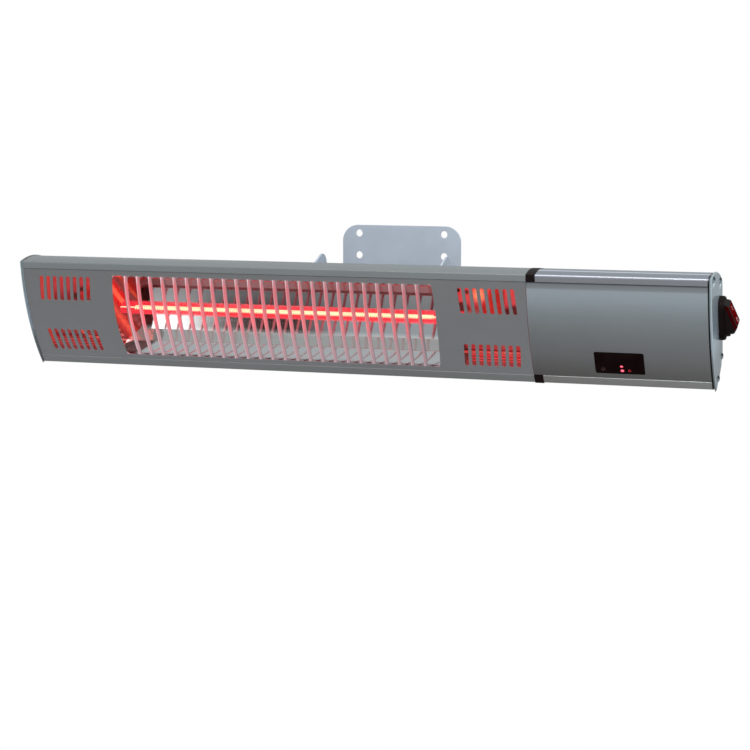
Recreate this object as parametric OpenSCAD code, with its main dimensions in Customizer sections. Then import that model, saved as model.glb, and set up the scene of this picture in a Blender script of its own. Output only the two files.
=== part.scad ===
// Wall-mounted infrared bar heater. A long aluminium housing with a stamped
// front guard, a ruby lamp in a folded reflector, a control housing with a
// display window and an end switch, and a two-part steel wall bracket.
//
// Frame: X runs along the heater with the controls at +X, the heater faces -Y
// and Z is up. The origin is the middle of the four wall holes, on the wall.
// The heater is drawn in its own section frame (y back, z up, zero at the top
// front corner) and is then tipped about X and set in front of the wall.

/* [Body] */
// Length over the two end caps
body_len = 865; // [840:5:900]
// Height of the front from its top corner to its bottom corner
face_h = 143; // [142:0.5:144]
// How far the front bulges forward at mid-height
face_bulge = 10; // [9:0.5:11]
// Wall thickness of the extruded housings
wall_t = 1.8; // [1.6:0.1:2]
// Thickness of an end cap
cap_t = 3.6; // [3.2:0.1:5]
// How far an end cap stands out past the housing all round
cap_rim = 1; // [0.6:0.1:1.4]
// Width of the shadow gap between end cap and housing
cap_gap = 1.4; // [0.6:0.1:2]
// Length of the control housing
control_len = 200.3; // [190:0.1:210]
// Width of the collar between the two housings
collar_w = 11; // [9:0.5:13]

/* [Front panel] */
// Height of the top lip, along the front
lip_top = 8.4; // [7:0.1:9]
// Height of the bottom lip, along the front
lip_bottom = 12; // [10:0.5:13]
// How far the sheets sit back from the lips
sheet_recess = 0.8; // [0.6:0.1:1]
// Thickness of the front sheets
sheet_t = 1; // [0.8:0.1:1.2]
// Distance of the middle of the guard from the left cap
guard_from_cap = 326.9; // [320:0.5:330]
// Length of the guard opening at its top and bottom
guard_len = 411; // [409:1:413]
// How far each end of the guard opening bows out
guard_bow = 3.2; // [2:0.1:4]
// Number of guard bars
bar_count = 24; // [24:1:24]
// Distance from bar to bar
bar_pitch = 16.3; // [16:0.1:16.4]
// Width of a guard bar
bar_w = 4.8; // [4:0.1:5.5]
// Turn of a guard bar about its own length
bar_turn = 38; // [10:1:60]
// Width of a side slot
slot_w = 5.1; // [3:0.1:6]
// Distance from side slot to side slot
slot_pitch = 9.1; // [8:0.1:9.5]
// Lean of the side slots
slot_lean = 5; // [0:0.5:7]

/* [Lamp] */
// Outer diameter of the ruby tube
lamp_d = 17; // [15:0.5:18]
// Length of the ruby tube
lamp_len = 500; // [490:5:510]
// Length of the glowing coil
coil_len = 390; // [360:5:392]

/* [Wall bracket] */
// Width of the wall plate
plate_w = 154; // [150:1:160]
// Thickness of the wall plate
plate_t = 3; // [2.5:0.5:4]
// Corner radius of the wall plate
plate_r = 20; // [12:1:24]
// Distance between the columns of wall holes
hole_dx = 111; // [100:1:114]
// Distance between the rows of wall holes
hole_dz = 27.5; // [24:0.5:30]
// Diameter of a wall hole
hole_d = 9; // [6:0.5:10]
// Distance of the pivot from the wall
pivot_out = 51.57; // [51:0.01:60]
// Height of the pivot below the middle of the wall holes
pivot_drop = 67.73; // [64:0.01:70]
// Tilt of the front from the vertical
tilt = 22.3; // [0:0.1:45]
// Diameter of a pivot bolt
bolt_d = 8; // [8:1:8]

/* [Switch] */
// Length of the switch frame
switch_l = 53; // [50:1:55]
// Width of the switch frame
switch_w = 28; // [26:1:29]
// How far the switch frame stands proud of the cap
switch_h = 6.5; // [5:0.5:8]
// Turn of the rocker from its middle position, pressed in at the top
rocker_turn = 20; // [10:1:20]

/* [Hidden] */
$fn = 64;

eps = 0.01;
gap = 0.3;

// Places along the heater
bracket_shift = 20.5;
x_left = -body_len / 2 - bracket_shift;
x_right = x_left + body_len;
heat_x0 = x_left + cap_t;
ctrl_x1 = x_right - cap_t;
ctrl_x0 = ctrl_x1 - control_len;
heat_x1 = ctrl_x0 - collar_w;
guard_x = heat_x0 + guard_from_cap;

// Front arc
front_r = (face_h * face_h / 4 + face_bulge * face_bulge) / (2 * face_bulge);
front_c = [front_r - face_bulge, -face_h / 2];
front_a = asin(face_h / 2 / front_r);
front_len = 2 * front_r * front_a * PI / 180;
lip_end = front_len - lip_bottom;
ledge = 5;
rebate_t = 1.83;
lip_t = 3.2;

// Screws of the end caps, in the section frame
cap_screw_pts = [[12, -6.6], [56.4, -29.8], [44.6, -122.6], [13.5, -135.2]];
cap_screw_r = 1.7;
port_r = 4.2;

// Lamp and reflector, in the section frame
lamp_y = 22;
lamp_z = -face_h / 2;
reflector_t = 0.8;
reflector_half = 214;
end_plate_turn = 25;
tube_t = 1.2;
coil_r = 2.6;
coil_lead_r = 0.8;
cap_d = 21;
cap_len = 24;
cap_grip = 14;
lamp_pin_r = 4;
lamp_pin_out = cap_len - cap_grip + 7;
holder_t = 1.5;

// Back of the housing: the flat runs from its top to its bottom
back_top = [70.2, -41.5];
back_bottom = [51.9, -120.4];
back_turn = atan2(back_top[0] - back_bottom[0], back_top[1] - back_bottom[1]);

// Pivot, in the section frame, and its place (y, z) in the part's frame
pivot = [76, -82];
pivot_place = [-pivot_out, -pivot_drop];
pivot_clear = 0.06;
bolt_head_h = 5.3;
hex_d = 15;
nut_h = 6.5;
washer_t = 1.6;
washer_r = 8.5;
spacer_r = 9.5;
flange_x = plate_w / 2;
flange_t = 3;
flange_tip_r = 11;
flange_top = -26;
flange_low = -94;
spacer_t = 1.5;
arm_gap = 0.2;
arm_t = 2.5;
arm_x = flange_x + spacer_t + arm_gap;
arm_top = -17;
arm_back = 87;
arm_bottom = -108;
foot_len = 24;
plate_top = 23.9;
plate_bottom = -116;

// Display window on the control cover
window_x = 301.5;
window_s = 110.3;
window_l = 58;
window_h = 30.5;
window_lip = 2;
display_depth = 9;
display_post_x = 34.5;

// Circuit boards
board_t = 1.6;
board_l = 120;
board_h = 62;
board_x = 282;
board_lift = 9;

// Switch on the right cap, in the section frame
switch_c = [43.5, -71.5];
rocker_l = 42;
rocker_w = 19.4;
rocker_gap = 0.4;
rocker_pin_r = 1.7;
rocker_pin_l = 1.6;
rocker_face_r = 17;
rocker_lip = 24;
rocker_pivot_x = 0.5;
lens_l = 25;
lens_w = 14;
lens_t = 2.5;

function unit(v) = v / norm(v);
function left_of(p, q) = [p[1] - q[1], q[0] - p[0]] / norm(q - p);

// Centre of the circle through three points
function centre3(p, q, r) =
    let (a = q - p, b = r - p, d = 2 * (a[0] * b[1] - a[1] * b[0]))
    p + [b[1] * (a * a) - a[1] * (b * b), a[0] * (b * b) - b[0] * (a * a)] / d;

// Points of the arc that runs from p through q to r
function arc3(p, q, r, n) =
    let (c = centre3(p, q, r), rad = norm(p - c),
        turn = (q[0] - p[0]) * (r[1] - p[1]) - (q[1] - p[1]) * (r[0] - p[0]),
        a0 = atan2(p[1] - c[1], p[0] - c[0]),
        raw = atan2(r[1] - c[1], r[0] - c[0]) - a0,
        sweep = turn > 0 ? (raw < 0 ? raw + 360 : raw) : (raw > 0 ? raw - 360 : raw))
    [for (i = [0:n]) c + rad * [cos(a0 + sweep * i / n), sin(a0 + sweep * i / n)]];

// A closed outline moved outwards by d; the points run clockwise
function grow(pts, d) =
    let (n = len(pts))
    [for (i = [0:n - 1])
        let (a = left_of(pts[(i + n - 1) % n], pts[i]), b = left_of(pts[i], pts[(i + 1) % n]))
        pts[i] + d * (a + b) / (1 + a * b)];

// An open path given a thickness t on its left side
function ribbon(path, t) =
    let (n = len(path),
        side = [for (i = [0:n - 1])
            let (a = i == 0 ? left_of(path[0], path[1]) : left_of(path[i - 1], path[i]),
                b = i == n - 1 ? a : left_of(path[i], path[i + 1]))
            path[i] + t * (a + b) / (1 + a * b)])
    concat(path, [for (i = [n - 1:-1:0]) side[i]]);

// A rectangle with round corners, centred, as points
function round_rect(l, h, r, n = 6) =
    [for (q = [0:3], i = [0:n])
        let (sx = (q == 0 || q == 3) ? 1 : -1, sy = q < 2 ? 1 : -1, a = q * 90 + i * 90 / n)
        [sx * (l / 2 - r) + r * cos(a), sy * (h / 2 - r) + r * sin(a)]];

// Point on the front at arc length s from the top corner, moved in by d
function front_pt(s, d = 0) =
    let (a = front_a - s / front_r * 180 / PI)
    front_c + (front_r - d) * [-cos(a), sin(a)];
function front_z(s) = front_pt(s)[1];
function front_turn(s) = front_a - s / front_r * 180 / PI;

// Outer outline of the housing without its front: over the top and down the back
bottom_corner = [0, -face_h];
function shell_path() = concat(
    arc3([0, 0], [35.6, -9.1], [65, -30], 14),
    arc3([65.4, -30.5], [69.2, -35.6], back_top, 5),
    arc3(back_bottom, [49.8, -125.4], [45.4, -129], 5),
    arc3([45, -129.2], [24, -137.3], bottom_corner, 8));
function outline() = concat(shell_path(), [for (i = [1:23]) front_pt(front_len * (1 - i / 24))]);

// Section of the extruded housings: one strip of aluminium with stepped lips
function extrusion() =
    let (outer = shell_path(), n = len(outer), inner = grow(outline(), -wall_t))
    concat([for (s = [lip_top:-lip_top / 3:1]) front_pt(s)],
        outer,
        [for (s = [front_len - lip_bottom / 3:-lip_bottom / 3:lip_end - 0.1]) front_pt(s)],
        [front_pt(lip_end, rebate_t), front_pt(lip_end - ledge, rebate_t),
            front_pt(lip_end - ledge, lip_t), front_pt(front_len - 2.2, lip_t)],
        [for (i = [n - 2:-1:1]) inner[i]],
        [front_pt(2.6, lip_t), front_pt(lip_top + ledge, lip_t),
            front_pt(lip_top + ledge, rebate_t), front_pt(lip_top, rebate_t)]);

// Puts what is drawn in the section frame in its place in front of the wall
module in_place() {
    translate([0, pivot_place[0], pivot_place[1]]) rotate([tilt, 0, 0])
        translate([0, -pivot[0], -pivot[1]]) children();
}

// Extrudes a section (y, z) from x0 to x1
module along(x0, x1) {
    translate([x0, 0, 0]) rotate([90, 0, 90]) linear_extrude(x1 - x0) children();
}

// A cylinder along X from x0 to x1 about the point p of the section
module rod(p, x0, x1, r) {
    translate([x0, p[0], p[1]]) rotate([0, 90, 0]) cylinder(h = x1 - x0, r = r);
}

// A curved sheet on the front, between arc lengths s0 and s1
module front_sheet(x0, x1, s0, s1, depth, t) {
    middle = [-2 * front_c[0], (front_z(s0) + front_z(s1)) / 2];
    intersection() {
        difference() {
            rod(front_c, x0, x1, front_r - depth, $fn = 720);
            rod(front_c, x0 - 1, x1 + 1, front_r - depth - t, $fn = 720);
        }
        along(x0 - 2, x1 + 2) polygon([front_pt(s1, 100), front_pt(s1, -20), middle,
            front_pt(s0, -20), front_pt(s0, 100)]);
    }
}

// A solid through a list of rings, each with the same number of points
module sweep(rings) {
    n = len(rings[0]);
    last = len(rings) - 1;
    walls = [for (i = [0:last - 1], k = [0:n - 1])
        let (a = i * n + k, b = i * n + (k + 1) % n)
        each [[a, a + n, b + n], [a, b + n, b]]];
    ends = [[for (k = [0:n - 1]) k], [for (k = [n - 1:-1:0]) last * n + k]];
    polyhedron([for (ring = rings) each ring], concat(walls, ends), convexity = 6);
}

// Turns a flat shape in (x, z) so that it punches through the front along Y
module punch() {
    rotate([90, 0, 0]) translate([0, 0, -14]) linear_extrude(30) children();
}

// Puts what is drawn around the origin on the front, at x and arc length s, facing out
module on_front(x, s, depth = 0) {
    p = front_pt(s, depth);
    translate([x, p[0], p[1]]) rotate([-front_turn(s), 0, 0]) rotate([90, 0, 0]) children();
}

// Puts what is drawn around the origin on the back flat, facing out, at distance d down it
module on_back(x, d, lift = 0) {
    p = back_top + (back_bottom - back_top) * d / norm(back_bottom - back_top);
    translate([x, p[0], p[1]]) rotate([-back_turn, 0, 0]) translate([0, lift, 0]) rotate([-90, 0, 0])
        children();
}

// Wall plate with its two flanges, cut and bent from one sheet
module wall_bracket() {
    c = pivot_place;
    z_mid = (plate_top + plate_bottom) / 2;
    color("lightsteelblue") {
        difference() {
            translate([0, 0, z_mid]) rotate([90, 0, 0]) linear_extrude(plate_t)
                polygon(round_rect(plate_w, plate_top - plate_bottom, plate_r, 12));
            for (sx = [-1, 1], sz = [-1, 1])
                translate([sx * hole_dx / 2, eps, sz * hole_dz / 2]) rotate([90, 0, 0])
                    cylinder(h = plate_t + 2 * eps, d = hole_d);
        }
        for (s = [-1, 1]) {
            x0 = s > 0 ? flange_x - flange_t : -flange_x;
            difference() {
                along(x0, x0 + flange_t) polygon(flange_outline(c));
                rod(c, x0 - 1, x0 + flange_t + 1, bolt_d / 2 + pivot_clear);
            }
        }
    }
}

// A flange runs from the plate to a round tip about the pivot
function flange_outline(c) =
    let (top = [-plate_t + eps, flange_top], low = [-plate_t + eps, flange_low],
        a = tangent_angle(top, c, 1), b = tangent_angle(low, c, -1) + 360)
    concat([top], [for (i = [0:12]) let (t = a + (b - a) * i / 12) c + flange_tip_r * [cos(t), sin(t)]], [low]);
function tangent_angle(p, c, side) =
    atan2(p[1] - c[1], p[0] - c[0]) + side * acos(flange_tip_r / norm(p - c));

// Pivot bolts, through the arms and the flanges
module pivot_bolts() {
    c = pivot_place;
    head_x = arm_x + arm_t + arm_gap + washer_t;
    color("silver") for (s = [0, 1]) mirror([s, 0, 0]) {
        rod(c, flange_x - flange_t - nut_h - 1.5, head_x + eps, bolt_d / 2);
        translate([head_x, c[0], c[1]]) rotate([0, 90, 0]) cylinder(h = bolt_head_h, d = hex_d, $fn = 6);
    }
}

// Washers under the bolt heads
module pivot_washers() {
    c = pivot_place;
    x0 = arm_x + arm_t + arm_gap;
    color("silver") for (s = [0, 1]) mirror([s, 0, 0]) difference() {
        rod(c, x0, x0 + washer_t, washer_r);
        rod(c, x0 - 1, x0 + washer_t + 1, bolt_d / 2 + pivot_clear);
    }
}

// Washers between flange and arm
module spacer_washers() {
    c = pivot_place;
    color("dimgray") for (s = [0, 1]) mirror([s, 0, 0]) difference() {
        rod(c, flange_x, flange_x + spacer_t, spacer_r);
        rod(c, flange_x - 1, flange_x + spacer_t + 1, bolt_d / 2 + pivot_clear);
    }
}

// Nuts inside the flanges
module pivot_nuts() {
    c = pivot_place;
    x1 = flange_x - flange_t;
    color("silver") for (s = [0, 1]) mirror([s, 0, 0]) difference() {
        translate([x1 - nut_h, c[0], c[1]]) rotate([0, 90, 0]) cylinder(h = nut_h, d = hex_d, $fn = 6);
        rod(c, x1 - nut_h - 1, x1 + 1, bolt_d / 2 + pivot_clear);
    }
}

// One arm of the heater's yoke: a plate square to X and a foot on the back flat
module arm() {
    r = 15;
    arm_pts = concat([[30, arm_top]],
        arc3([arm_back - r, arm_top], [arm_back - r + r * cos(45), arm_top - r + r * sin(45)],
            [arm_back, arm_top - r], 8),
        arc3([arm_back, arm_bottom + 16], [arm_back - 16 + 16 * cos(45), arm_bottom + 16 - 16 * sin(45)],
            [arm_back - 16, arm_bottom], 8),
        [[30, arm_bottom]]);
    difference() {
        along(arm_x, arm_x + arm_t) difference() {
            polygon(arm_pts);
            polygon(grow(outline(), 0.02));
        }
        rod(pivot, arm_x - 1, arm_x + arm_t + 1, bolt_d / 2 + pivot_clear);
    }
    difference() {
        on_back(arm_x + arm_t / 2 + foot_len / 2, 36.5, 0.02)
            translate([-foot_len / 2 - arm_t / 2, -31, 0]) cube([foot_len + arm_t, 58, arm_t]);
        for (d = arm_screw_d) on_back(arm_x + arm_t + 12, d, -2) cylinder(h = 8, r = 2.7);
    }
}
arm_screw_d = [16, 52];

module arm_left() {
    color("lightsteelblue") in_place() mirror([1, 0, 0]) arm();
}

module arm_right() {
    color("lightsteelblue") in_place() arm();
}

// Pan-head screw along Z, its head resting on z = 0
module screw(r, head_r, head_h, length) {
    rotate_extrude() polygon([[0, -length], [r, -length], [r, 0], [head_r, 0], [head_r, head_h * 0.4],
        [head_r * 0.72, head_h * 0.85], [head_r * 0.35, head_h], [0, head_h]]);
}

// Four screws that hold the two feet to the housing
module arm_screws() {
    color("silver") in_place() for (s = [0, 1], d = arm_screw_d) mirror([s, 0, 0])
        on_back(arm_x + arm_t + 12, d, arm_t + 0.02) screw(2.4, 4.6, 2.6, 8);
}

// A length of the extruded section with a screw port near each corner
module housing_length(x0, x1) {
    difference() {
        union() {
            along(x0, x1) polygon(extrusion());
            for (p = cap_screw_pts) rod(p, x0, x1, port_r);
        }
        for (p = cap_screw_pts) rod(p, x0 - 1, x1 + 1, cap_screw_r);
    }
}

// Holes for the screws of the two feet
module arm_screw_holes() {
    for (s = [0, 1], d = arm_screw_d) mirror([s, 0, 0])
        on_back(arm_x + arm_t + 12, d, -4) cylinder(h = 8, r = 2.45);
}

module heater_housing() {
    color("gray") in_place() difference() {
        housing_length(heat_x0, heat_x1);
        arm_screw_holes();
    }
}

// Guard opening along the front, and how far the flat roots of its bars reach into it
guard_top = 15.3;
guard_low = 126;
bar_root = 3;
gap_r = 4.2;
bar_twist = 9;

// Bow of the guard's ends at x, largest at the ends; u runs from -1 at the bottom to 1 at the top
function bow(x, u) = guard_bow * sign(x) * pow(abs(x) * 2 / guard_len, 8) * (1 - u * u);

// One gap of the guard between x0 and x1, with round corners and bowed sides
function gap_points(x0, x1) =
    let (zt = front_z(guard_top), zl = front_z(guard_low), zm = (zt + zl) / 2, half = (zt - zl) / 2,
        r = gap_r, side = [for (i = [-4:4]) i / 4 * (1 - r / half)], k = r * 0.3)
    concat(
        [for (u = side) [x0 + bow(x0, u), zm + half * u]],
        [[x0 + k, zt - k], [x0 + r, zt], [x1 - r, zt], [x1 - k, zt - k]],
        [for (i = [8:-1:0]) [x1 + bow(x1, side[i]), zm + half * side[i]]],
        [[x1 - k, zl + k], [x1 - r, zl], [x0 + r, zl], [x0 + k, zl + k]]);

// The opening stamped for the guard, with the flat roots of the bars left standing in it
module guard_opening() {
    for (i = [0:bar_count]) {
        first = (i - bar_count / 2 - 0.5) * bar_pitch;
        x0 = i == 0 ? -guard_len / 2 : first + bar_w / 2;
        x1 = i == bar_count ? guard_len / 2 : first + bar_pitch - bar_w / 2;
        translate([guard_x, 0, 0]) punch() polygon(gap_points(x0, x1));
    }
    z0 = front_z(guard_top + bar_root);
    z1 = front_z(guard_low - bar_root);
    translate([guard_x, 0, (z0 + z1) / 2]) punch() square([guard_len - bar_pitch, z0 - z1], center = true);
}

// Turn of a bar at arc length s: none at its roots, all of it between them
function bar_angle(s) =
    let (d = min(s - guard_top - bar_root, guard_low - bar_root - s), k = max(0, min(1, d / bar_twist)))
    bar_turn * k * k * (3 - 2 * k);

// One bar of the guard: a strip along the front arc, turned on edge between its two roots
module bar(x) {
    w = bar_w / 2 - 0.03;
    t = sheet_t / 2 - 0.05;
    s0 = guard_top + bar_root;
    s1 = guard_low - bar_root;
    stations = concat([s0 - 1.5, s0], [for (i = [1:4]) s0 + bar_twist * i / 4],
        [for (i = [1:6]) s0 + bar_twist + (s1 - s0 - 2 * bar_twist) * i / 7],
        [for (i = [4:-1:1]) s1 - bar_twist * i / 4], [s1, s1 + 1.5]);
    sweep([for (s = stations)
        let (a = front_turn(s), q = bar_angle(s), out = [0, -cos(a), sin(a)],
            across = cos(q) * [1, 0, 0] - sin(q) * out, face = sin(q) * [1, 0, 0] + cos(q) * out,
            p = front_pt(s, sheet_recess + sheet_t / 2), u = 1 - 2 * (s - guard_top) / (guard_low - guard_top),
            c = [guard_x + x + bow(x, u), p[0], p[1]])
        [c - w * across - t * face, c + w * across - t * face, c + w * across + t * face,
            c - w * across + t * face]]);
}

// One slot of a side group: a strip with half-round ends, leaning
module slot(length, lean) {
    rotate([0, 0, lean]) {
        square([slot_w, length - slot_w], center = true);
        for (s = [-1, 1]) translate([0, s * (length - slot_w) / 2]) circle(d = slot_w + 0.02, $fn = 32);
    }
}

// The four groups of eight leaning slots beside the guard
module side_slots() {
    z_up = [front_z(17.9), front_z(49.9)];
    z_low = [front_z(90.3), front_z(122.3)];
    for (side = [-1, 1], i = [0:7]) {
        x = guard_x + side * 272.2 + (i - 3.5) * slot_pitch;
        translate([x, 0, (z_up[0] + z_up[1]) / 2]) punch() slot(z_up[0] - z_up[1], side * slot_lean);
        translate([x, 0, (z_low[0] + z_low[1]) / 2]) punch() slot(z_low[0] - z_low[1], -side * slot_lean);
    }
}

// Stamped front panel: guard and side slots cut from one curved sheet, its bars turned on edge
module front_panel() {
    color("gray") in_place() {
        difference() {
            front_sheet(heat_x0 + gap, heat_x1 - 0.1, lip_top + 0.2, lip_end - 0.2, sheet_recess, sheet_t);
            guard_opening();
            side_slots();
        }
        for (i = [0:bar_count - 1]) bar((i - bar_count / 2 + 0.5) * bar_pitch);
    }
}

// Folded sheet behind the lamp, with a ridge that keeps light off the tube; its two edges lie
// on the ledges of the lips
function reflector_path() =
    let (d = lip_t + 0.12, over = 0.8, past = 0.4)
    [front_pt(lip_top + over, d), front_pt(lip_top + ledge + past, d), [14, -25], [40, -36], [48, -56.5],
        [39, lamp_z], [49, -84], [36, -109], [14, -114], front_pt(lip_end - ledge - past, d),
        front_pt(lip_end - over, d)];
module reflector() {
    color("gainsboro") in_place() along(guard_x - reflector_half, guard_x + reflector_half)
        polygon(ribbon(reflector_path(), reflector_t));
}

// End plate of the reflector: it flares towards the front and the lamp passes through it
module reflector_end() {
    path = reflector_path();
    inside = grow([for (i = [1:len(path) - 2]) path[i]], -0.02);
    difference() {
        intersection() {
            along(170, 230) polygon(inside);
            translate([196, 46, lamp_z]) rotate([0, 0, end_plate_turn]) translate([0, -60, -70])
                cube([reflector_t, 80, 140]);
        }
        rod([lamp_y, lamp_z], 160, 240, lamp_d / 2 + 1.2);
    }
}

module reflector_end_left() {
    color("gainsboro") in_place() translate([guard_x, 0, 0]) mirror([1, 0, 0]) reflector_end();
}

module reflector_end_right() {
    color("gainsboro") in_place() translate([guard_x, 0, 0]) reflector_end();
}

// Ruby glass tube
module lamp_tube() {
    p = [lamp_y, lamp_z];
    color("red") in_place() difference() {
        rod(p, guard_x - lamp_len / 2, guard_x + lamp_len / 2, lamp_d / 2);
        rod(p, guard_x - lamp_len / 2 - 1, guard_x + lamp_len / 2 + 1, lamp_d / 2 - tube_t);
    }
}

// Glowing coil on its straight leads
module lamp_coil() {
    p = [lamp_y, lamp_z];
    color("orange") in_place() {
        rod(p, guard_x - coil_len / 2, guard_x + coil_len / 2, coil_r);
        rod(p, guard_x - lamp_len / 2 - 6, guard_x + lamp_len / 2 + 6, coil_lead_r);
    }
}

// Ceramic caps on the two ends of the tube
module lamp_caps() {
    p = [lamp_y, lamp_z];
    x0 = lamp_len / 2 - cap_grip;
    color("linen") in_place() translate([guard_x, 0, 0]) for (s = [0, 1]) mirror([s, 0, 0]) difference() {
        union() {
            rod(p, x0, x0 + cap_len, cap_d / 2);
            rod(p, x0 + cap_len - 1, lamp_len / 2 + lamp_pin_out, lamp_pin_r);
        }
        rod(p, x0 - 1, lamp_len / 2 + 0.1, lamp_d / 2 + 0.05);
        rod(p, x0 - 1, lamp_len / 2 + 6.1, coil_lead_r + 0.05);
    }
}

// Steel holder: a plate that carries the cap's pin and a foot on the back wall
module lamp_holder() {
    x0 = lamp_len / 2 - cap_grip + cap_len;
    difference() {
        union() {
            along(x0, x0 + holder_t) polygon([[8, -48], [66, -48], [55.5, -95], [8, -95]]);
            intersection() {
                along(x0, x0 + 14) polygon([[40, -48], [70, -48], [60, -95], [40, -95]]);
                on_back(x0 + 7, 31, -wall_t - holder_t) translate([-8, -40, 0]) cube([16, 80, holder_t]);
            }
        }
        rod([lamp_y, lamp_z], x0 - 1, x0 + 3, lamp_pin_r + 0.05);
    }
}

module lamp_holder_left() {
    color("silver") in_place() translate([guard_x, 0, 0]) mirror([1, 0, 0]) lamp_holder();
}

module lamp_holder_right() {
    color("silver") in_place() translate([guard_x, 0, 0]) lamp_holder();
}

// Direction of a path at its point i, halfway between the runs that meet there
function heading(pts, i) =
    let (last = len(pts) - 1, a = max(i, 1), b = min(i, last - 1))
    unit(unit(pts[a] - pts[a - 1]) + unit(pts[b + 1] - pts[b]));

// A wire of radius r along a list of points, with eight sides
module wire(pts, r, sides = 8) {
    sweep([for (i = [0:len(pts) - 1])
        let (t = heading(pts, i), u = unit(cross(t, [0, 1, 0])), v = cross(t, u))
        [for (k = [0:sides - 1]) pts[i] + r * (cos(k * 360 / sides) * u + sin(k * 360 / sides) * v)]]);
}

// The two insulated leads of the lamp; each passes the heat shield and the collar at its hole
lead_holes = [[34, -124], [34, -110]];
lead_r = 1.7;
lead_hole_r = 1.75;
module lamp_leads() {
    end = lamp_len / 2 + lamp_pin_out + 0.1;
    xl = guard_x - end;
    xr = guard_x + end;
    low = lead_holes[0];
    high = lead_holes[1];
    color("ivory") in_place() {
        wire([[xl, lamp_y, lamp_z], [xl - 8, lamp_y, lamp_z], [xl - 14, 24, -80], [xl - 14, 31, -114],
            [xl - 8, low[0] - 1, low[1] + 2], [xl + 6, low[0], low[1]], [heat_x1 + 16, low[0], low[1]]],
            lead_r);
        wire([[xr, lamp_y, lamp_z], [xr + 8, lamp_y, lamp_z], [xr + 14, 24, -78], [xr + 20, 33, -104],
            [xr + 28, high[0], high[1]], [heat_x1 + 16, high[0], high[1]]], lead_r);
    }
}

// Sheet that keeps the lamp's heat from the controls
module heat_shield() {
    color("silver") in_place() difference() {
        along(heat_x1 - 7, heat_x1 - 6.2) difference() {
            polygon(grow(outline(), -wall_t - 0.04));
            translate([-20, -150]) square([24.5, 160]);
            for (p = cap_screw_pts) translate(p) circle(r = port_r + 0.04);
        }
        for (p = lead_holes) rod(p, heat_x1 - 9, heat_x1, lead_hole_r);
    }
}

// End cap with a rounded rim, from x = 0 inwards to x = cap_t; the outer face is at x = 0.
// A lower step behind the rim leaves a shadow gap at the housing
module cap_body() {
    rotate([90, 0, 90]) {
        hull() {
            linear_extrude(0.02) polygon(grow(outline(), cap_rim - 1.5));
            translate([0, 0, 0.4]) linear_extrude(0.02) polygon(grow(outline(), cap_rim - 0.6));
            translate([0, 0, 1.4]) linear_extrude(cap_t - cap_gap - 1.4) polygon(grow(outline(), cap_rim));
        }
        translate([0, 0, cap_t - cap_gap - eps]) linear_extrude(cap_gap + eps)
            polygon(grow(outline(), -0.9));
    }
}

module left_end_cap() {
    color("darkgray") in_place() difference() {
        translate([x_left, 0, 0]) cap_body();
        for (p = cap_screw_pts) rod(p, x_left - 1, x_left + cap_t + 1, 2);
    }
}

module right_end_cap() {
    color("darkgray") in_place() difference() {
        translate([x_right, 0, 0]) mirror([1, 0, 0]) cap_body();
        for (p = cap_screw_pts) rod(p, x_right - cap_t - 1, x_right + 1, 2);
        along(x_right - cap_t - 1, x_right + 1) translate(switch_c)
            polygon(round_rect(switch_w - 4, switch_l - 1.6, 10.2, 8));
    }
}

// Four screws that hold a cap, at the left end
module left_cap_screws() {
    color("silver") in_place() for (p = cap_screw_pts)
        translate([x_left, p[0], p[1]]) rotate([0, -90, 0]) screw(1.65, 3.1, 1.7, 14);
}

// Four screws that hold a cap, at the right end
module right_cap_screws() {
    color("silver") in_place() for (p = cap_screw_pts)
        translate([x_right, p[0], p[1]]) rotate([0, 90, 0]) screw(1.65, 3.1, 1.7, 14);
}

// Black collar between the two housings, with a wall across it
module collar() {
    mid = (heat_x1 + ctrl_x0) / 2;
    s0 = lip_top - 0.3;
    s1 = lip_end + 0.3;
    front_cut = concat([for (i = [0:12]) front_pt(s0 + (s1 - s0) * i / 12, 2.3)],
        [front_pt(s1, -9), [-30, front_c[1]], front_pt(s0, -9)]);
    color([0.06, 0.06, 0.06]) in_place() difference() {
        along(heat_x1, ctrl_x0) difference() {
            polygon(grow(outline(), 0.3));
            polygon(front_cut);
        }
        for (x = [heat_x1 - 1, mid + 1.5]) along(x, x + mid - heat_x1 - 0.5)
            polygon(grow(outline(), -5));
        for (p = lead_holes) rod(p, heat_x1 - 9, ctrl_x0 + 1, lead_hole_r);
    }
}

// Place of the cable gland on the back of the control housing
gland_x = 352;
gland_d = 52;

module control_housing() {
    color("gray") in_place() difference() {
        housing_length(ctrl_x0, ctrl_x1);
        on_back(gland_x, gland_d, -6) cylinder(h = 12, r = 8.1);
    }
}

// Curved cover of the controls, which also runs over the collar
module control_cover() {
    color("gray") in_place() difference() {
        front_sheet(heat_x1 + 0.3, ctrl_x1 - 0.1, lip_top + 0.2, lip_end - 0.2, sheet_recess - 0.1,
            sheet_t + 0.1);
        on_front(window_x, window_s) translate([0, 0, -10]) linear_extrude(20)
            polygon(round_rect(window_l + 0.4, window_h + 0.4, 2.2));
    }
}

// Glossy window of the display, with a lip behind the cover
module display_window() {
    behind = sheet_recess + sheet_t;
    color([0.02, 0.02, 0.03]) in_place() {
        window_layer(0.6, behind - 0.6 + 0.1, 0);
        window_layer(behind, 1, window_lip);
    }
}

// One layer of the window, from a depth on, t thick and larger all round by more
module window_layer(depth, t, more) {
    intersection() {
        front_sheet(window_x - window_l, window_x + window_l, window_s - 25, window_s + 21, depth, t);
        on_front(window_x, window_s) translate([0, 0, -10]) linear_extrude(20)
            polygon(round_rect(window_l + 2 * more, window_h + 2 * more, 2));
    }
}

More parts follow.
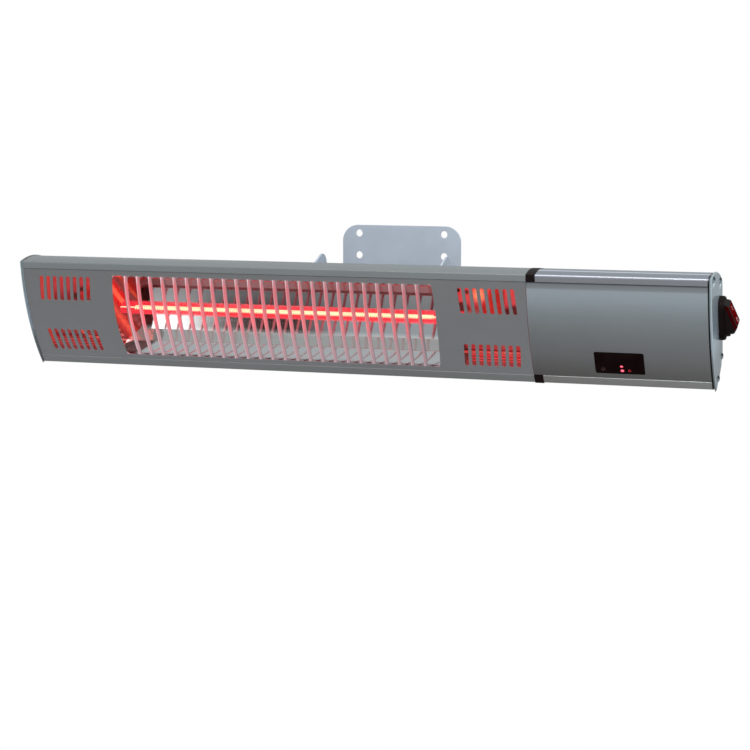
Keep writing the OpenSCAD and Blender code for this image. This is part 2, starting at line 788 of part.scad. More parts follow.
// Board behind the window
module display_board() {
    color("darkgreen") in_place() on_front(window_x, window_s, display_depth) difference() {
        translate([0, 0, -board_t]) linear_extrude(board_t)
            polygon(round_rect(display_post_x * 2 + 8, 34, 1.5, 3));
        for (s = [-1, 1]) translate([s * display_post_x, 0, -3]) cylinder(h = 6, r = 1.6, $fn = 24);
    }
}

// Posts that hold that board to the back of the cover
module display_posts() {
    color("silver") in_place() on_front(window_x, window_s, display_depth) for (s = [-1, 1])
        translate([s * display_post_x, 0, 0])
            cylinder(h = display_depth - sheet_recess - sheet_t - 0.02, r = 2.4, $fn = 32);
}

// Indicator lamps on that board, given from the window's middle
led_pts = [[-19, -8.7], [3.2, -4.1], [3.9, -10.4], [12.5, -9.9]];
module display_leds() {
    color("red") in_place() on_front(window_x, window_s, display_depth) for (p = led_pts)
        translate([p[0], p[1], 0]) cylinder(h = 3.4, r = 1.5, $fn = 24);
}

// Main board, parallel to the back wall
module power_board() {
    color("darkgreen") in_place() on_back(board_x, 36, -wall_t - board_lift - board_t) difference() {
        linear_extrude(board_t) polygon(round_rect(board_l, board_h, 2, 3));
        for (sx = [-1, 1], sy = [-1, 1]) translate([sx * (board_l / 2 - 5), sy * (board_h / 2 - 5), -1])
            cylinder(h = 4, r = 1.6, $fn = 24);
    }
}

// Posts between that board and the back wall
module board_posts() {
    color("silver") in_place() on_back(board_x, 36, -wall_t - board_lift) for (sx = [-1, 1], sy = [-1, 1])
        translate([sx * (board_l / 2 - 5), sy * (board_h / 2 - 5), 0]) cylinder(h = board_lift, r = 2.8);
}

// Relay on the main board
module relay() {
    color("royalblue") in_place() on_back(board_x - 30, 28, -wall_t - board_lift - board_t)
        translate([-14, -8, -16]) cube([28, 16, 16]);
}

// Terminal block for the mains wires
module terminal_block() {
    color("seagreen") in_place() on_back(board_x + 36, 52, -wall_t - board_lift - board_t) difference() {
        translate([-15, -6, -11]) cube([30, 12, 11]);
        for (i = [-1:1]) translate([i * 9, 0, -12]) cylinder(h = 6, r = 2.4, $fn = 24);
    }
}

// Frame of the rocker switch with the tub behind it, open towards +X
module switch_frame() {
    tub_depth = 18;
    color([0.05, 0.05, 0.05]) in_place() difference() {
        union() {
            along(x_right, x_right + switch_h - 1.5) translate(switch_c)
                polygon(round_rect(switch_w, switch_l, 12, 8));
            along(x_right + switch_h - 1.6, x_right + switch_h) translate(switch_c)
                polygon(round_rect(switch_w - 1.4, switch_l - 1.4, 11.3, 8));
            along(x_right - tub_depth - 2, x_right + 0.5) translate(switch_c)
                polygon(round_rect(switch_w - 4.4, switch_l - 2, 10, 8));
        }
        along(x_right - tub_depth, x_right + switch_h + 1) translate(switch_c)
            polygon(round_rect(rocker_w + 2 * rocker_gap, rocker_lip * 2 + 1.2, 9, 8));
        for (s = [-1, 1]) translate([x_right + rocker_pivot_x, switch_c[0], switch_c[1]])
            rotate([-90 * s, 0, 0]) cylinder(h = rocker_w / 2 + rocker_pin_l + 0.2, r = rocker_pin_r + 0.05);
    }
}

// Side view of the rocker in its middle position, as (out, along) from the pivot:
// a flat face, a bevel to each end, a groove and a soft lip that seals against the frame
function rocker_side() = let (f = rocker_face_r, h = rocker_l / 2) concat(
    [for (p = rocker_end) [p[0], -h - p[1]]], [[f - 1.5, -15.2], [f, -13.4], [f, 13.4], [f - 1.5, 15.2]],
    [for (i = [len(rocker_end) - 1:-1:0]) [rocker_end[i][0], h + rocker_end[i][1]]]);
rocker_end = [[-5, -9], [-0.4, -0.8], [1.8, 2.6], [3.4, 2.6], [5.2, -1.6], [6.2, -1.6], [7.8, 0.9], [9.4, 0.9],
    [10.4, -0.6]];

// Puts what is drawn about the rocker's pivot in place: x out of the cap, z along the switch
module on_rocker() {
    in_place() translate([x_right + rocker_pivot_x, switch_c[0], switch_c[1]]) rotate([0, -rocker_turn, 0])
        children();
}

// What stays inside a straight shape at both ends of the rocker's throw and between them
module within_throw() {
    intersection() {
        children();
        rotate([0, rocker_turn, 0]) children();
        rotate([0, -rocker_turn, 0]) children();
    }
}

module switch_rocker() {
    color([0.08, 0.02, 0.02]) on_rocker() {
        difference() {
            intersection() {
                rotate([90, 0, 0]) linear_extrude(rocker_w, center = true) polygon(rocker_side());
                within_throw() along(-16, rocker_face_r + 9)
                    polygon(round_rect(rocker_w, rocker_lip * 2 + 0.3, 8.6, 8));
            }
            translate([rocker_face_r, 0, 0]) cube([lens_t * 2, lens_w + 0.2, lens_l + 0.2], center = true);
        }
        rotate([90, 0, 0]) cylinder(h = rocker_w + 2 * rocker_pin_l, r = rocker_pin_r, center = true);
    }
}

// Red lens set in the rocker's face
module switch_lens() {
    color("darkred") on_rocker() translate([rocker_face_r - lens_t / 2 + 0.2, 0, 0])
        cube([lens_t + 0.4, lens_w, lens_l], center = true);
}

// Gland for the supply cable, on the back
module cable_gland() {
    color([0.1, 0.1, 0.1]) in_place() on_back(gland_x, gland_d) difference() {
        union() {
            translate([0, 0, -8]) cylinder(h = 8.5, r = 8);
            cylinder(h = 4, r = 12, $fn = 6);
            translate([0, 0, -wall_t - 4.7]) cylinder(h = 4.7, r = 11.5, $fn = 6);
            translate([0, 0, 3.9]) rotate_extrude()
                polygon([[0, 0], [9.4, 0], [9.4, 7], [8.4, 10], [6.6, 12], [5, 12.6], [0, 12.6]]);
        }
        translate([0, 0, -10]) cylinder(h = 30, r = 3.6);
    }
}

wall_bracket();
pivot_bolts();
pivot_washers();
spacer_washers();
pivot_nuts();
arm_left();
arm_right();
arm_screws();
heater_housing();
front_panel();
reflector();
reflector_end_left();
reflector_end_right();
lamp_tube();
lamp_coil();
lamp_caps();
lamp_holder_left();
lamp_holder_right();
lamp_leads();
heat_shield();
left_end_cap();
left_cap_screws();
collar();
control_housing();
control_cover();
display_window();
display_board();
display_posts();
display_leds();
power_board();
board_posts();
relay();
terminal_block();
right_end_cap();
right_cap_screws();
switch_frame();
switch_rocker();
switch_lens();
cable_gland();
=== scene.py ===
"""Finishes and fine pieces of a wall-mounted infrared bar heater.

Everything is in metres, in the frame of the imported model: X runs along the heater with the controls
at +X, the heater faces -Y and Z is up. The origin is the middle of the four wall holes, on the wall.
"""

import logging
import math
from dataclasses import dataclass
from enum import Enum
from functools import reduce
from typing import Callable, Iterable, Sequence

import bmesh
import bpy
from bpy.types import Material, Mesh, Node, NodeSocket, NodeTree, Object, World
from mathutils import Matrix, Vector


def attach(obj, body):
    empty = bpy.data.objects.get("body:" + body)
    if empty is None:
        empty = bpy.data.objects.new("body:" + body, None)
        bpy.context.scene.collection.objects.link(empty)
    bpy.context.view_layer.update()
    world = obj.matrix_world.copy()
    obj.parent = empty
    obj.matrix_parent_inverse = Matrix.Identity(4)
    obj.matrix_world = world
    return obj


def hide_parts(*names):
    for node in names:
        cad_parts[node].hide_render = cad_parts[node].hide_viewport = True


LOG = logging.getLogger("heater")
MM = 0.001
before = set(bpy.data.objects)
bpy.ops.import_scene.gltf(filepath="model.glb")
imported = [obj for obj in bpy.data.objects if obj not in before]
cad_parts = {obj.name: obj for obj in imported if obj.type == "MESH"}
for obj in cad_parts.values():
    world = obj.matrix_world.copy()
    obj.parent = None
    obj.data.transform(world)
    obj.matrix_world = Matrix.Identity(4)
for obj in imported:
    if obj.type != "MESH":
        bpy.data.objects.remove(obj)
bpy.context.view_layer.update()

Pair = tuple[float, float]
Triple = tuple[float, float, float]
Rgb = Triple
Stops = tuple[tuple[float, Rgb], ...]
Shape = Callable[[float, float, float], Pair]
WHITE: Rgb = (1.0, 1.0, 1.0)
DARK: Rgb = (0.0, 0.0, 0.0)
EVEN: Triple = (1.0, 1.0, 1.0)
ZERO: Triple = (0.0, 0.0, 0.0)


@dataclass(frozen=True)
class Section:
    """The heater's cross-section: its front arc and its place in front of the wall."""

    face_h: float = 0.143
    bulge: float = 0.010
    tilt: float = math.radians(22.3)
    pivot: Pair = (0.076, -0.082)
    pivot_place: Pair = (-0.05157, -0.06773)
    back_top: Pair = (0.0702, -0.0415)
    back_bottom: Pair = (0.0519, -0.1204)

    @property
    def radius(self) -> float:
        """Radius of the front arc."""
        return (self.face_h**2 / 4 + self.bulge**2) / (2 * self.bulge)

    def angle(self, down: float) -> float:
        """Slope of the front at an arc length below the top corner."""
        return math.asin(self.face_h / 2 / self.radius) - down / self.radius

    def place(self, x: float, y: float, z: float) -> Vector:
        """Takes a point of the section frame to the part's frame."""
        dy, dz = y - self.pivot[0], z - self.pivot[1]
        cos, sin = math.cos(self.tilt), math.sin(self.tilt)
        pivot_y, pivot_z = self.pivot_place
        return Vector((x, pivot_y + dy * cos - dz * sin, pivot_z + dy * sin + dz * cos))

    def matrix(self) -> Matrix:
        """Matrix from the section frame to the part's frame."""
        move = Matrix.Translation((0, *self.pivot_place))
        back = Matrix.Translation((0, -self.pivot[0], -self.pivot[1]))
        return move @ Matrix.Rotation(self.tilt, 4, "X") @ back

    def on_front(self, x: float, down: float, depth: float) -> Matrix:
        """Matrix of a spot on the front, a depth inside: x along the heater, y up the front, z outwards."""
        slope, reach = self.angle(down), self.radius - depth
        y = self.radius - self.bulge - reach * math.cos(slope)
        z = -self.face_h / 2 + reach * math.sin(slope)
        turn = Matrix.Rotation(-slope, 4, "X") @ Matrix.Rotation(math.pi / 2, 4, "X")
        return self.matrix() @ Matrix.Translation((x, y, z)) @ turn

    def on_back(self, x: float, down: float, lift: float = 0.0) -> Matrix:
        """Matrix of a spot on the back flat, at a distance down it: z points outwards."""
        top, low = Vector(self.back_top), Vector(self.back_bottom)
        run = low - top
        spot = Matrix.Translation((x, *(top + run * (down / run.length))))
        face = Matrix.Rotation(-math.atan2(-run[0], -run[1]), 4, "X")
        rise = Matrix.Translation((0, lift, 0))
        return self.matrix() @ spot @ face @ rise @ Matrix.Rotation(-math.pi / 2, 4, "X")


SECTION = Section()
X_LEFT = -0.453
X_RIGHT = 0.412
LAMP = (-0.1225, 0.022, -0.0715)
CAP_SCREWS = ((0.012, -0.0066), (0.0564, -0.0298), (0.0446, -0.1226), (0.0135, -0.1352))
SWITCH_YZ = (0.0435, -0.0715)
# Depth in the section from which a face counts as inside the housing
INSIDE_Y = 0.0065
# Outer long edges of the extrusions: y and z in the section, and the share of the full rounding
EXTRUSION_EDGES = ((0.0, 0.0, 1.0), (0.0, -0.143, 1.0), (-0.0022, -0.0081, 0.4), (-0.0016, -0.0134, 0.4),
                   (-0.003, -0.1314, 0.4), (-0.0023, -0.1261, 0.4))
ROCKER_TURN = math.radians(20)
ROCKER_PIVOT = X_RIGHT + 0.0005


@dataclass
class Graph:
    """Adds and joins the nodes of one tree."""

    tree: NodeTree
    shader: Node | None = None

    def add(self, kind: str, values: dict[str | int, object] | None = None, **props: object) -> Node:
        """Adds a node.

        Args:
            kind: Blender's name of the node.
            values: Input values or sockets to join, by the input's name or number.
            **props: Properties of the node itself.

        Returns:
            The new node.
        """
        node = self.tree.nodes.new(kind)
        for name, value in props.items():
            setattr(node, name, value)
        for name, value in (values or {}).items():
            self.fill(node.inputs[name], value)
        return node

    def fill(self, socket: NodeSocket, value: object) -> None:
        """Joins a socket to an input, or sets the input's value."""
        if isinstance(value, NodeSocket):
            self.tree.links.new(value, socket)
        else:
            socket.default_value = value

    def put(self, **inputs: object) -> None:
        """Joins or sets inputs of the shader, spaces written as underscores and colours as three numbers."""
        for name, value in inputs.items():
            colour = isinstance(value, tuple)
            self.fill(self.shader.inputs[name.replace("_", " ")], (*value, 1.0) if colour else value)

    def math(self, operation: str, a: object, b: object = 0.0) -> NodeSocket:
        """Adds a math node and gives its result."""
        return self.add("ShaderNodeMath", {0: a, 1: b}, operation=operation).outputs[0]

    def vector(self, operation: str, a: object, b: object) -> Node:
        """Adds a vector math node."""
        return self.add("ShaderNodeVectorMath", {0: a, 1: b}, operation=operation)

    def times(self, *parts: object) -> NodeSocket:
        """Multiplies values."""
        return reduce(lambda a, b: self.math("MULTIPLY", a, b), parts)

    def most(self, *parts: object) -> NodeSocket:
        """Gives the largest of some values."""
        return reduce(lambda a, b: self.math("MAXIMUM", a, b), parts)

    def away(self, point: NodeSocket, place: Sequence[float]) -> NodeSocket:
        """Gives the distance from a place."""
        return self.vector("DISTANCE", point, tuple(place)).outputs["Value"]

    def span(self, value: NodeSocket, low: float, high: float, start: float = 0.0,
             end: float = 1.0) -> NodeSocket:
        """Maps low to high onto start to end, and holds the value there outside."""
        limits = {"Value": value, "From Min": low, "From Max": high, "To Min": start, "To Max": end}
        return self.add("ShaderNodeMapRange", limits).outputs[0]

    def within(self, value: NodeSocket, middle: float, half: float, soft: float = 0.0004) -> NodeSocket:
        """Gives 1 where a value lies within a half width of a middle, with a soft edge."""
        off = self.math("ABSOLUTE", self.math("SUBTRACT", value, middle))
        return self.span(off, half - soft, half + soft, 1.0, 0.0)

    def ramp(self, factor: NodeSocket, stops: Sequence[tuple[float, Rgb]]) -> NodeSocket:
        """Adds a colour ramp through the given stops and gives its colour."""
        node = self.add("ShaderNodeValToRGB", {"Fac": factor})
        elements = node.color_ramp.elements
        while len(elements) < len(stops):
            elements.new(0.5)
        for element, (position, colour) in zip(elements, stops):
            element.position = position
            element.color = (*colour, 1.0)
        return node.outputs["Color"]

    def by_height(self, height: NodeSocket, stops: Stops) -> NodeSocket:
        """Gives a colour that follows a height through stops given in millimetres, lowest first."""
        low, high = stops[0][0], stops[-1][0]
        level = self.span(height, low * MM, high * MM)
        return self.ramp(level, [((at - low) / (high - low), colour) for at, colour in stops])

    def blend(self, factor: NodeSocket, first: NodeSocket, second: Rgb | NodeSocket) -> NodeSocket:
        """Blends from one colour to a second one."""
        last = second if isinstance(second, NodeSocket) else (*second, 1.0)
        return self.add("ShaderNodeMix", {0: factor, 6: first, 7: last}, data_type="RGBA").outputs[2]

    def multiply(self, tone: NodeSocket) -> None:
        """Multiplies the shader's colour by a tone and so keeps the grain that is in it."""
        base = self.shader.inputs["Base Color"]
        values = {0: 1.0, 6: base.links[0].from_socket, 7: tone}
        mix = self.add("ShaderNodeMix", values, data_type="RGBA", blend_type="MULTIPLY")
        self.fill(base, mix.outputs[2])

    def shade(self, mask: NodeSocket, colour: Rgb) -> None:
        """Multiplies the shader's colour by a darker one where a mask is 1."""
        self.multiply(self.ramp(mask, ((0.0, WHITE), (1.0, colour))))

    def stretched(self, scale: Triple) -> NodeSocket:
        """Gives Object coordinates scaled along each axis."""
        place = self.add("ShaderNodeTexCoord").outputs["Object"]
        return self.add("ShaderNodeMapping", {"Vector": place, "Scale": scale}).outputs["Vector"]

    def section(self) -> tuple[NodeSocket, ...]:
        """Gives the x, y and z of Object coordinates in the heater's section frame."""
        back = SECTION.matrix().inverted()
        turned = self.add("ShaderNodeMapping", {"Vector": self.add("ShaderNodeTexCoord").outputs["Object"],
                                                "Location": tuple(back.translation),
                                                "Rotation": tuple(back.to_euler())})
        return tuple(self.add("ShaderNodeSeparateXYZ", {0: turned.outputs["Vector"]}).outputs)

    def spots(self, shift: float, radius: float, soft: float, squeeze: float = 1.0) -> NodeSocket:
        """Gives 1 on a spot at each screw of the end caps.

        Args:
            shift: How far the spot lies above the screw's middle.
            radius: Radius of the spot.
            soft: Width of its soft edge.
            squeeze: Below 1 the spot is longer from front to back.

        Returns:
            The mask.
        """
        _, y, z = self.section()
        flat = self.add("ShaderNodeCombineXYZ", {"Y": self.times(y, squeeze), "Z": z}).outputs[0]
        places = [(0.0, across * squeeze, up + shift) for across, up in CAP_SCREWS]
        return self.most(*(self.within(self.away(flat, at), 0.0, radius, soft) for at in places))

    def noise(self, scale: Triple, frequency: float, detail: float) -> NodeSocket:
        """Gives the value of a noise texture on Object coordinates scaled along each axis."""
        values = {"Vector": self.stretched(scale), "Scale": frequency, "Detail": detail}
        return self.add("ShaderNodeTexNoise", values).outputs["Fac"]

    def surface(self, pattern: NodeSocket, stops: Stops, rough: Pair,
                relief: tuple[NodeSocket, float, float] | None = None) -> None:
        """Gives the shader its colour, roughness and bump.

        Args:
            pattern: Pattern that the colour and the roughness follow.
            stops: Colours along the pattern.
            rough: Roughness at both ends of the pattern.
            relief: Height pattern, strength and depth of the bump.
        """
        self.put(Base_Color=self.ramp(pattern, stops), Roughness=self.span(pattern, 0.0, 1.0, *rough))
        if relief:
            height, strength, depth = relief
            bump = self.add("ShaderNodeBump", {"Strength": strength, "Distance": depth, "Height": height})
            self.put(Normal=bump.outputs["Normal"])


def scaled(colour: Rgb, factor: float, more: float = 0.0) -> Rgb:
    """Makes a colour lighter or darker."""
    return tuple(min(1.0, part * factor + more) for part in colour)


def fresh_graph(owner: Material | World) -> Graph:
    """Starts an empty node tree for a material or a world."""
    owner.use_nodes = True
    owner.node_tree.nodes.clear()
    return Graph(owner.node_tree)


class Finish:
    """Base of all finishes: makes its material once and hands it out again."""

    name: str

    def build(self, graph: Graph) -> None:
        """Fills the tree in; each finish has its own."""
        raise NotImplementedError

    def material(self) -> Material:
        """Gives the finish's material, made on first use."""
        known = bpy.data.materials.get("finish_" + self.name)
        if known:
            return known
        made = bpy.data.materials.new("finish_" + self.name)
        graph = fresh_graph(made)
        graph.shader = graph.add("ShaderNodeBsdfPrincipled")
        graph.add("ShaderNodeOutputMaterial", {"Surface": graph.shader.outputs["BSDF"]})
        self.build(graph)
        return made


@dataclass(frozen=True)
class Metal(Finish):
    """Bare, anodised or plated metal: a grain along the drawn direction under a slow cloudiness."""

    name: str
    colour: Rgb
    metallic: float = 1.0
    roughness: float = 0.35
    grain: Triple = (40.0, 900.0, 900.0)
    tint: float = 0.06
    rough_spread: float = 0.06
    bump: float = 0.04
    specular: float = 0.5
    # Painted light and shade: a colour multiplier by height in the section, in millimetres, lowest first.
    painted_shading: Stops = ()

    def build(self, graph: Graph) -> None:
        """Builds the grain and the cloudiness, and the painted light and shade by height in the section."""
        lines = graph.noise(self.grain, 1.0, 3.0)
        clouds = graph.noise(EVEN, 14.0, 3.0)
        mixed = graph.math("ADD", graph.times(lines, 0.55), graph.times(clouds, 0.45))
        stops = ((0.3, scaled(self.colour, 1 - self.tint)), (0.7, scaled(self.colour, 1 + self.tint)))
        rough = (self.roughness - self.rough_spread, self.roughness + self.rough_spread)
        graph.surface(mixed, stops, rough, (lines, self.bump, 0.05 * MM))
        graph.put(Metallic=self.metallic, Specular_IOR_Level=self.specular)
        if self.painted_shading:
            graph.multiply(graph.by_height(graph.section()[2], self.painted_shading))


@dataclass(frozen=True)
class LitMetal(Metal):
    """Metal inside the housing with the red light of the lamp's ends painted on in patches, as emission."""

    # Colour of the painted red light.
    glow: Rgb = (0.32, 0.014, 0.012)

    def build(self, graph: Graph) -> None:
        """Adds the painted red light to the metal."""
        super().build(graph)
        patches = graph.noise((70.0, 70.0, 160.0), 1.0, 2.0)
        graph.put(Emission_Strength=graph.span(patches, 0.0, 1.0, 0.1, 1.6), Emission_Color=self.glow)


@dataclass(frozen=True)
class EdgeMetal(Metal):
    """Metal of the control housing: painted highlight lines on top, painted shade on the top ledge's front,
    and a painted shadow where it meets the end cap.

    A zone holds its middle, its half width and its soft edge.
    """

    # Painted shadow along the heater where the metal meets the end cap.
    shadow_zone: Pair = (0.40685, 0.40735)
    shadow: Rgb = (0.045, 0.045, 0.045)
    # Painted shade on the front of the top ledge: its colour and its zone by height.
    lip_shade: Rgb = WHITE
    lip_shade_zone: Triple = (-0.0048, 0.0040, 0.0003)
    front_y: float = -0.0003
    # Painted highlights: emission lines at the front corner and along the top, only high up.
    line: float = 0.0
    highlight_tone: Rgb = (0.86, 0.86, 1.0)
    corner: Triple = (0.0008, 0.0009, 0.0006)
    crest_highlight: Triple = (0.0178, 0.0016, 0.0010)
    highlights_above: float = -0.0080

    def build(self, graph: Graph) -> None:
        """Adds the painted shade on the ledge's front, the painted highlight lines and the painted shadow to
        the metal.
        """
        super().build(graph)
        x, y, z = graph.section()
        front = graph.math("LESS_THAN", y, self.front_y)
        graph.shade(graph.times(graph.within(z, *self.lip_shade_zone), front), self.lip_shade)
        corner = graph.within(y, *self.corner)
        crest_highlight = graph.times(graph.within(y, *self.crest_highlight), 0.95)
        above = graph.math("GREATER_THAN", z, self.highlights_above)
        graph.put(Emission_Strength=graph.times(graph.most(corner, crest_highlight), self.line, above),
                  Emission_Color=self.highlight_tone)
        graph.shade(graph.span(x, *self.shadow_zone), self.shadow)


@dataclass(frozen=True)
class GuardMetal(Metal):
    """The front panel's metal, with the lamp's light on its bars painted on as emission.

    A stripe holds its place from the bar's middle, and its half width and soft edge as shares of the pitch.
    A highlight end holds the heights between which the painted highlight line brightens, and how bright it
    gets.
    """

    half: float = 0.2050
    middle_z: float = -0.06975
    reach: float = 0.0550
    pitch: float = 0.0163
    # Painted light is strongest on each bar and weaker towards its side.
    body: Triple = (0.0, 0.118, 0.022)
    side: Triple = (0.0021, 0.04, 0.03)
    # Painted highlight line near each bar's left edge, and its level between the ends.
    line: Triple = (-0.0019, 0.035, 0.03)
    highlight_level: float = 0.28
    highlight_ends: tuple[Triple, ...] = ((0.040, 0.053, 0.85), (-0.048, -0.055, 0.7))
    far_end: float = 0.62
    # Colour of the painted highlight line.
    spark: Rgb = (1.3, 1.05, 1.1)
    # Painted lamp light on the bars by height, reddest near the lamp.
    glow: Stops = ((0.0, (0.34, 0.14, 0.17)), (0.3, (0.42, 0.14, 0.17)), (0.41, (0.70, 0.05, 0.09)),
                   (0.49, (0.95, 0.03, 0.06)), (0.58, (0.80, 0.03, 0.06)), (0.72, (0.66, 0.025, 0.05)),
                   (0.9, (0.62, 0.03, 0.06)), (1.0, (0.46, 0.10, 0.12)))

    def stripe(self, graph: Graph, x: NodeSocket, shift: float, half: float, soft: float) -> NodeSocket:
        """Gives 1 on a stripe that repeats with the bars.

        Args:
            graph: The tree.
            x: Place along the heater.
            shift: Place of the stripe from the bar's middle.
            half: Half of its width as a share of the pitch.
            soft: Its soft edge as a share of the pitch.

        Returns:
            The mask.
        """
        turns = graph.math("DIVIDE", graph.math("SUBTRACT", x, LAMP[0] + shift + self.pitch / 2), self.pitch)
        phase = graph.math("SUBTRACT", graph.math("FRACT", graph.math("ADD", turns, 40.5)), 0.5)
        return graph.within(phase, 0.0, half, soft)

    def painted_highlights(self, graph: Graph, x: NodeSocket, z: NodeSocket) -> NodeSocket:
        """Gives a painted highlight line along every bar, brightest at the bar's two ends."""
        ends = [graph.span(z, self.middle_z + start, self.middle_z + end, 0.0, level)
                for start, end, level in self.highlight_ends]
        return graph.times(self.stripe(graph, x, *self.line), graph.most(*ends, self.highlight_level))

    def build(self, graph: Graph) -> None:
        """Adds the painted lamp light to the metal as emission: redder near the lamp, paler away from it."""
        super().build(graph)
        x, _, z = graph.section()
        left, right = LAMP[0] - self.half, LAMP[0] + self.half
        height = graph.span(z, self.middle_z - self.reach, self.middle_z + self.reach)
        colour = graph.blend(self.painted_highlights(graph, x, z), graph.ramp(height, self.glow), self.spark)
        body = graph.span(self.stripe(graph, x, *self.body), 0.0, 1.0, 0.22, 1.0)
        edge = graph.span(self.stripe(graph, x, *self.side), 0.0, 1.0, 1.0, 0.4)
        opening = graph.times(graph.within(x, LAMP[0], self.half),
                              graph.within(z, self.middle_z, self.reach))
        painted_shine = graph.times(opening, body, graph.span(x, left, right, 1.0, self.far_end), edge)
        graph.put(Emission_Color=colour, Emission_Strength=painted_shine)


@dataclass(frozen=True)
class MirrorMetal(Metal):
    """The reflector's bright sheet, with painted light below the lamp and a faint painted red glow above it.
    """

    # Painted light, as emission by height: a lit band below the lamp and a faint red glow above it.
    light: Stops = ((-124.5, (0.01, 0.0, 0.0)), (-122.5, (0.05, 0.05, 0.05)), (-114.5, (0.04, 0.04, 0.04)),
                    (-113.5, (0.17, 0.175, 0.17)), (-109.0, (0.15, 0.16, 0.155)), (-104.0, DARK),
                    (-57.2, DARK), (-56.0, (0.058, 0.010, 0.011)), (-16.0, (0.058, 0.010, 0.011)))

    def build(self, graph: Graph) -> None:
        """Adds the painted light to the metal as emission, by height in the section."""
        super().build(graph)
        graph.put(Emission_Color=graph.by_height(graph.section()[2], self.light), Emission_Strength=1.0)


@dataclass(frozen=True)
class HousingMetal(Metal):
    """The housing's metal, with the red light of the lamp's ends painted on as emission on the inner walls
    beside the reflector.

    The painted light on the back wall goes by height and the painted light on the floor by depth. The
    painted shadow spots hold the place along the heater, the height, and the radius in millimetres.
    """

    lit: tuple[Pair, ...] = ((-0.4030, 0.0520), (0.1425, 0.0520))
    wall: Stops = ((-88.0, (0.16, 0.008, 0.010)), (-76.0, (0.34, 0.018, 0.026)),
                   (-69.0, (0.56, 0.045, 0.052)), (-56.0, (0.60, 0.040, 0.040)))
    floor: Stops = (
        (22.0, (0.20, 0.004, 0.006)), (29.0, (0.15, 0.002, 0.004)), (30.2, (0.78, 0.030, 0.032)),
        (31.4, (0.15, 0.002, 0.004)), (32.8, (0.15, 0.002, 0.004)), (34.2, (0.85, 0.035, 0.038)),
        (35.6, (0.18, 0.004, 0.006)), (36.9, (0.18, 0.004, 0.006)), (38.3, (0.78, 0.030, 0.032)),
        (39.6, (0.28, 0.006, 0.008)), (44.0, (0.38, 0.010, 0.012)))
    floor_below: float = -0.118
    # The hot spot is painted light: a brighter orange patch on the back wall near the lamp's right end.
    hot: Triple = (0.1195, 0.0, -0.0620)
    bright_patch_size: Pair = (0.0045, 0.0060)
    bright_patch_tone: Rgb = (1.25, 0.40, 0.17)
    # Painted shadows of parts, as spots where the painted light is dimmed.
    painted_shadows: tuple[Triple, ...] = (
        (0.0975, -0.0800, 9.0), (0.1540, -0.0815, 4.5), (0.1632, -0.0790, 5.5), (0.0930, -0.1300, 14.5),
        (0.1040, -0.0585, 2.6), (-0.4094, -0.0695, 3.4), (-0.4190, -0.0780, 3.8))

    def build(self, graph: Graph) -> None:
        """Adds the painted red light, as emission, on faces that look inwards, in the two end zones."""
        super().build(graph)
        x, y, z = graph.section()
        flat = graph.add("ShaderNodeCombineXYZ", {"X": x, "Z": z}).outputs[0]
        bright_patch_mask = graph.within(graph.away(flat, self.hot), 0.0, *self.bright_patch_size)
        wall = graph.blend(bright_patch_mask, graph.by_height(z, self.wall), self.bright_patch_tone)
        low = graph.math("LESS_THAN", z, self.floor_below)
        # Painted shadows dim the painted light, which also fades towards the left.
        shade = graph.most(*(graph.within(graph.away(flat, (along, 0.0, up)), 0.0, radius * MM, 0.0010)
                             for along, up, radius in self.painted_shadows))
        level = graph.times(graph.span(shade, 0.0, 1.0, 1.0, 0.12), graph.span(x, -0.1, 0.1, 0.66, 1.0))
        inner = graph.add("ShaderNodeAttribute", attribute_name="inner").outputs["Fac"]
        zones = graph.most(*(graph.within(x, middle, half, 0.004) for middle, half in self.lit))
        mask = graph.times(inner, graph.math("GREATER_THAN", y, INSIDE_Y), zones, level)
        patches = graph.span(graph.noise((60.0, 60.0, 240.0), 1.0, 2.0), 0.0, 1.0, 0.6, 1.4)
        graph.put(Emission_Color=graph.blend(low, wall, graph.by_height(y, self.floor)),
                  Emission_Strength=graph.times(mask, patches))


@dataclass(frozen=True)
class Paint(Finish):
    """Powder coat or lacquer: an even colour with a fine orange-peel surface."""

    name: str
    colour: Rgb
    roughness: float = 0.4
    metallic: float = 0.0
    peel: float = 700.0
    bump: float = 0.12
    coat: float = 0.0
    tint: float = 0.05

    def build(self, graph: Graph) -> None:
        """Builds the peel and a slow change of tone."""
        stops = ((0.35, scaled(self.colour, 1 - self.tint)), (0.65, scaled(self.colour, 1 + self.tint)))
        graph.surface(graph.noise(EVEN, 22.0, 3.0), stops, (self.roughness - 0.04, self.roughness + 0.05),
                      (graph.noise(EVEN, self.peel, 2.0), self.bump, 0.08 * MM))
        graph.put(Metallic=self.metallic, Coat_Weight=self.coat)


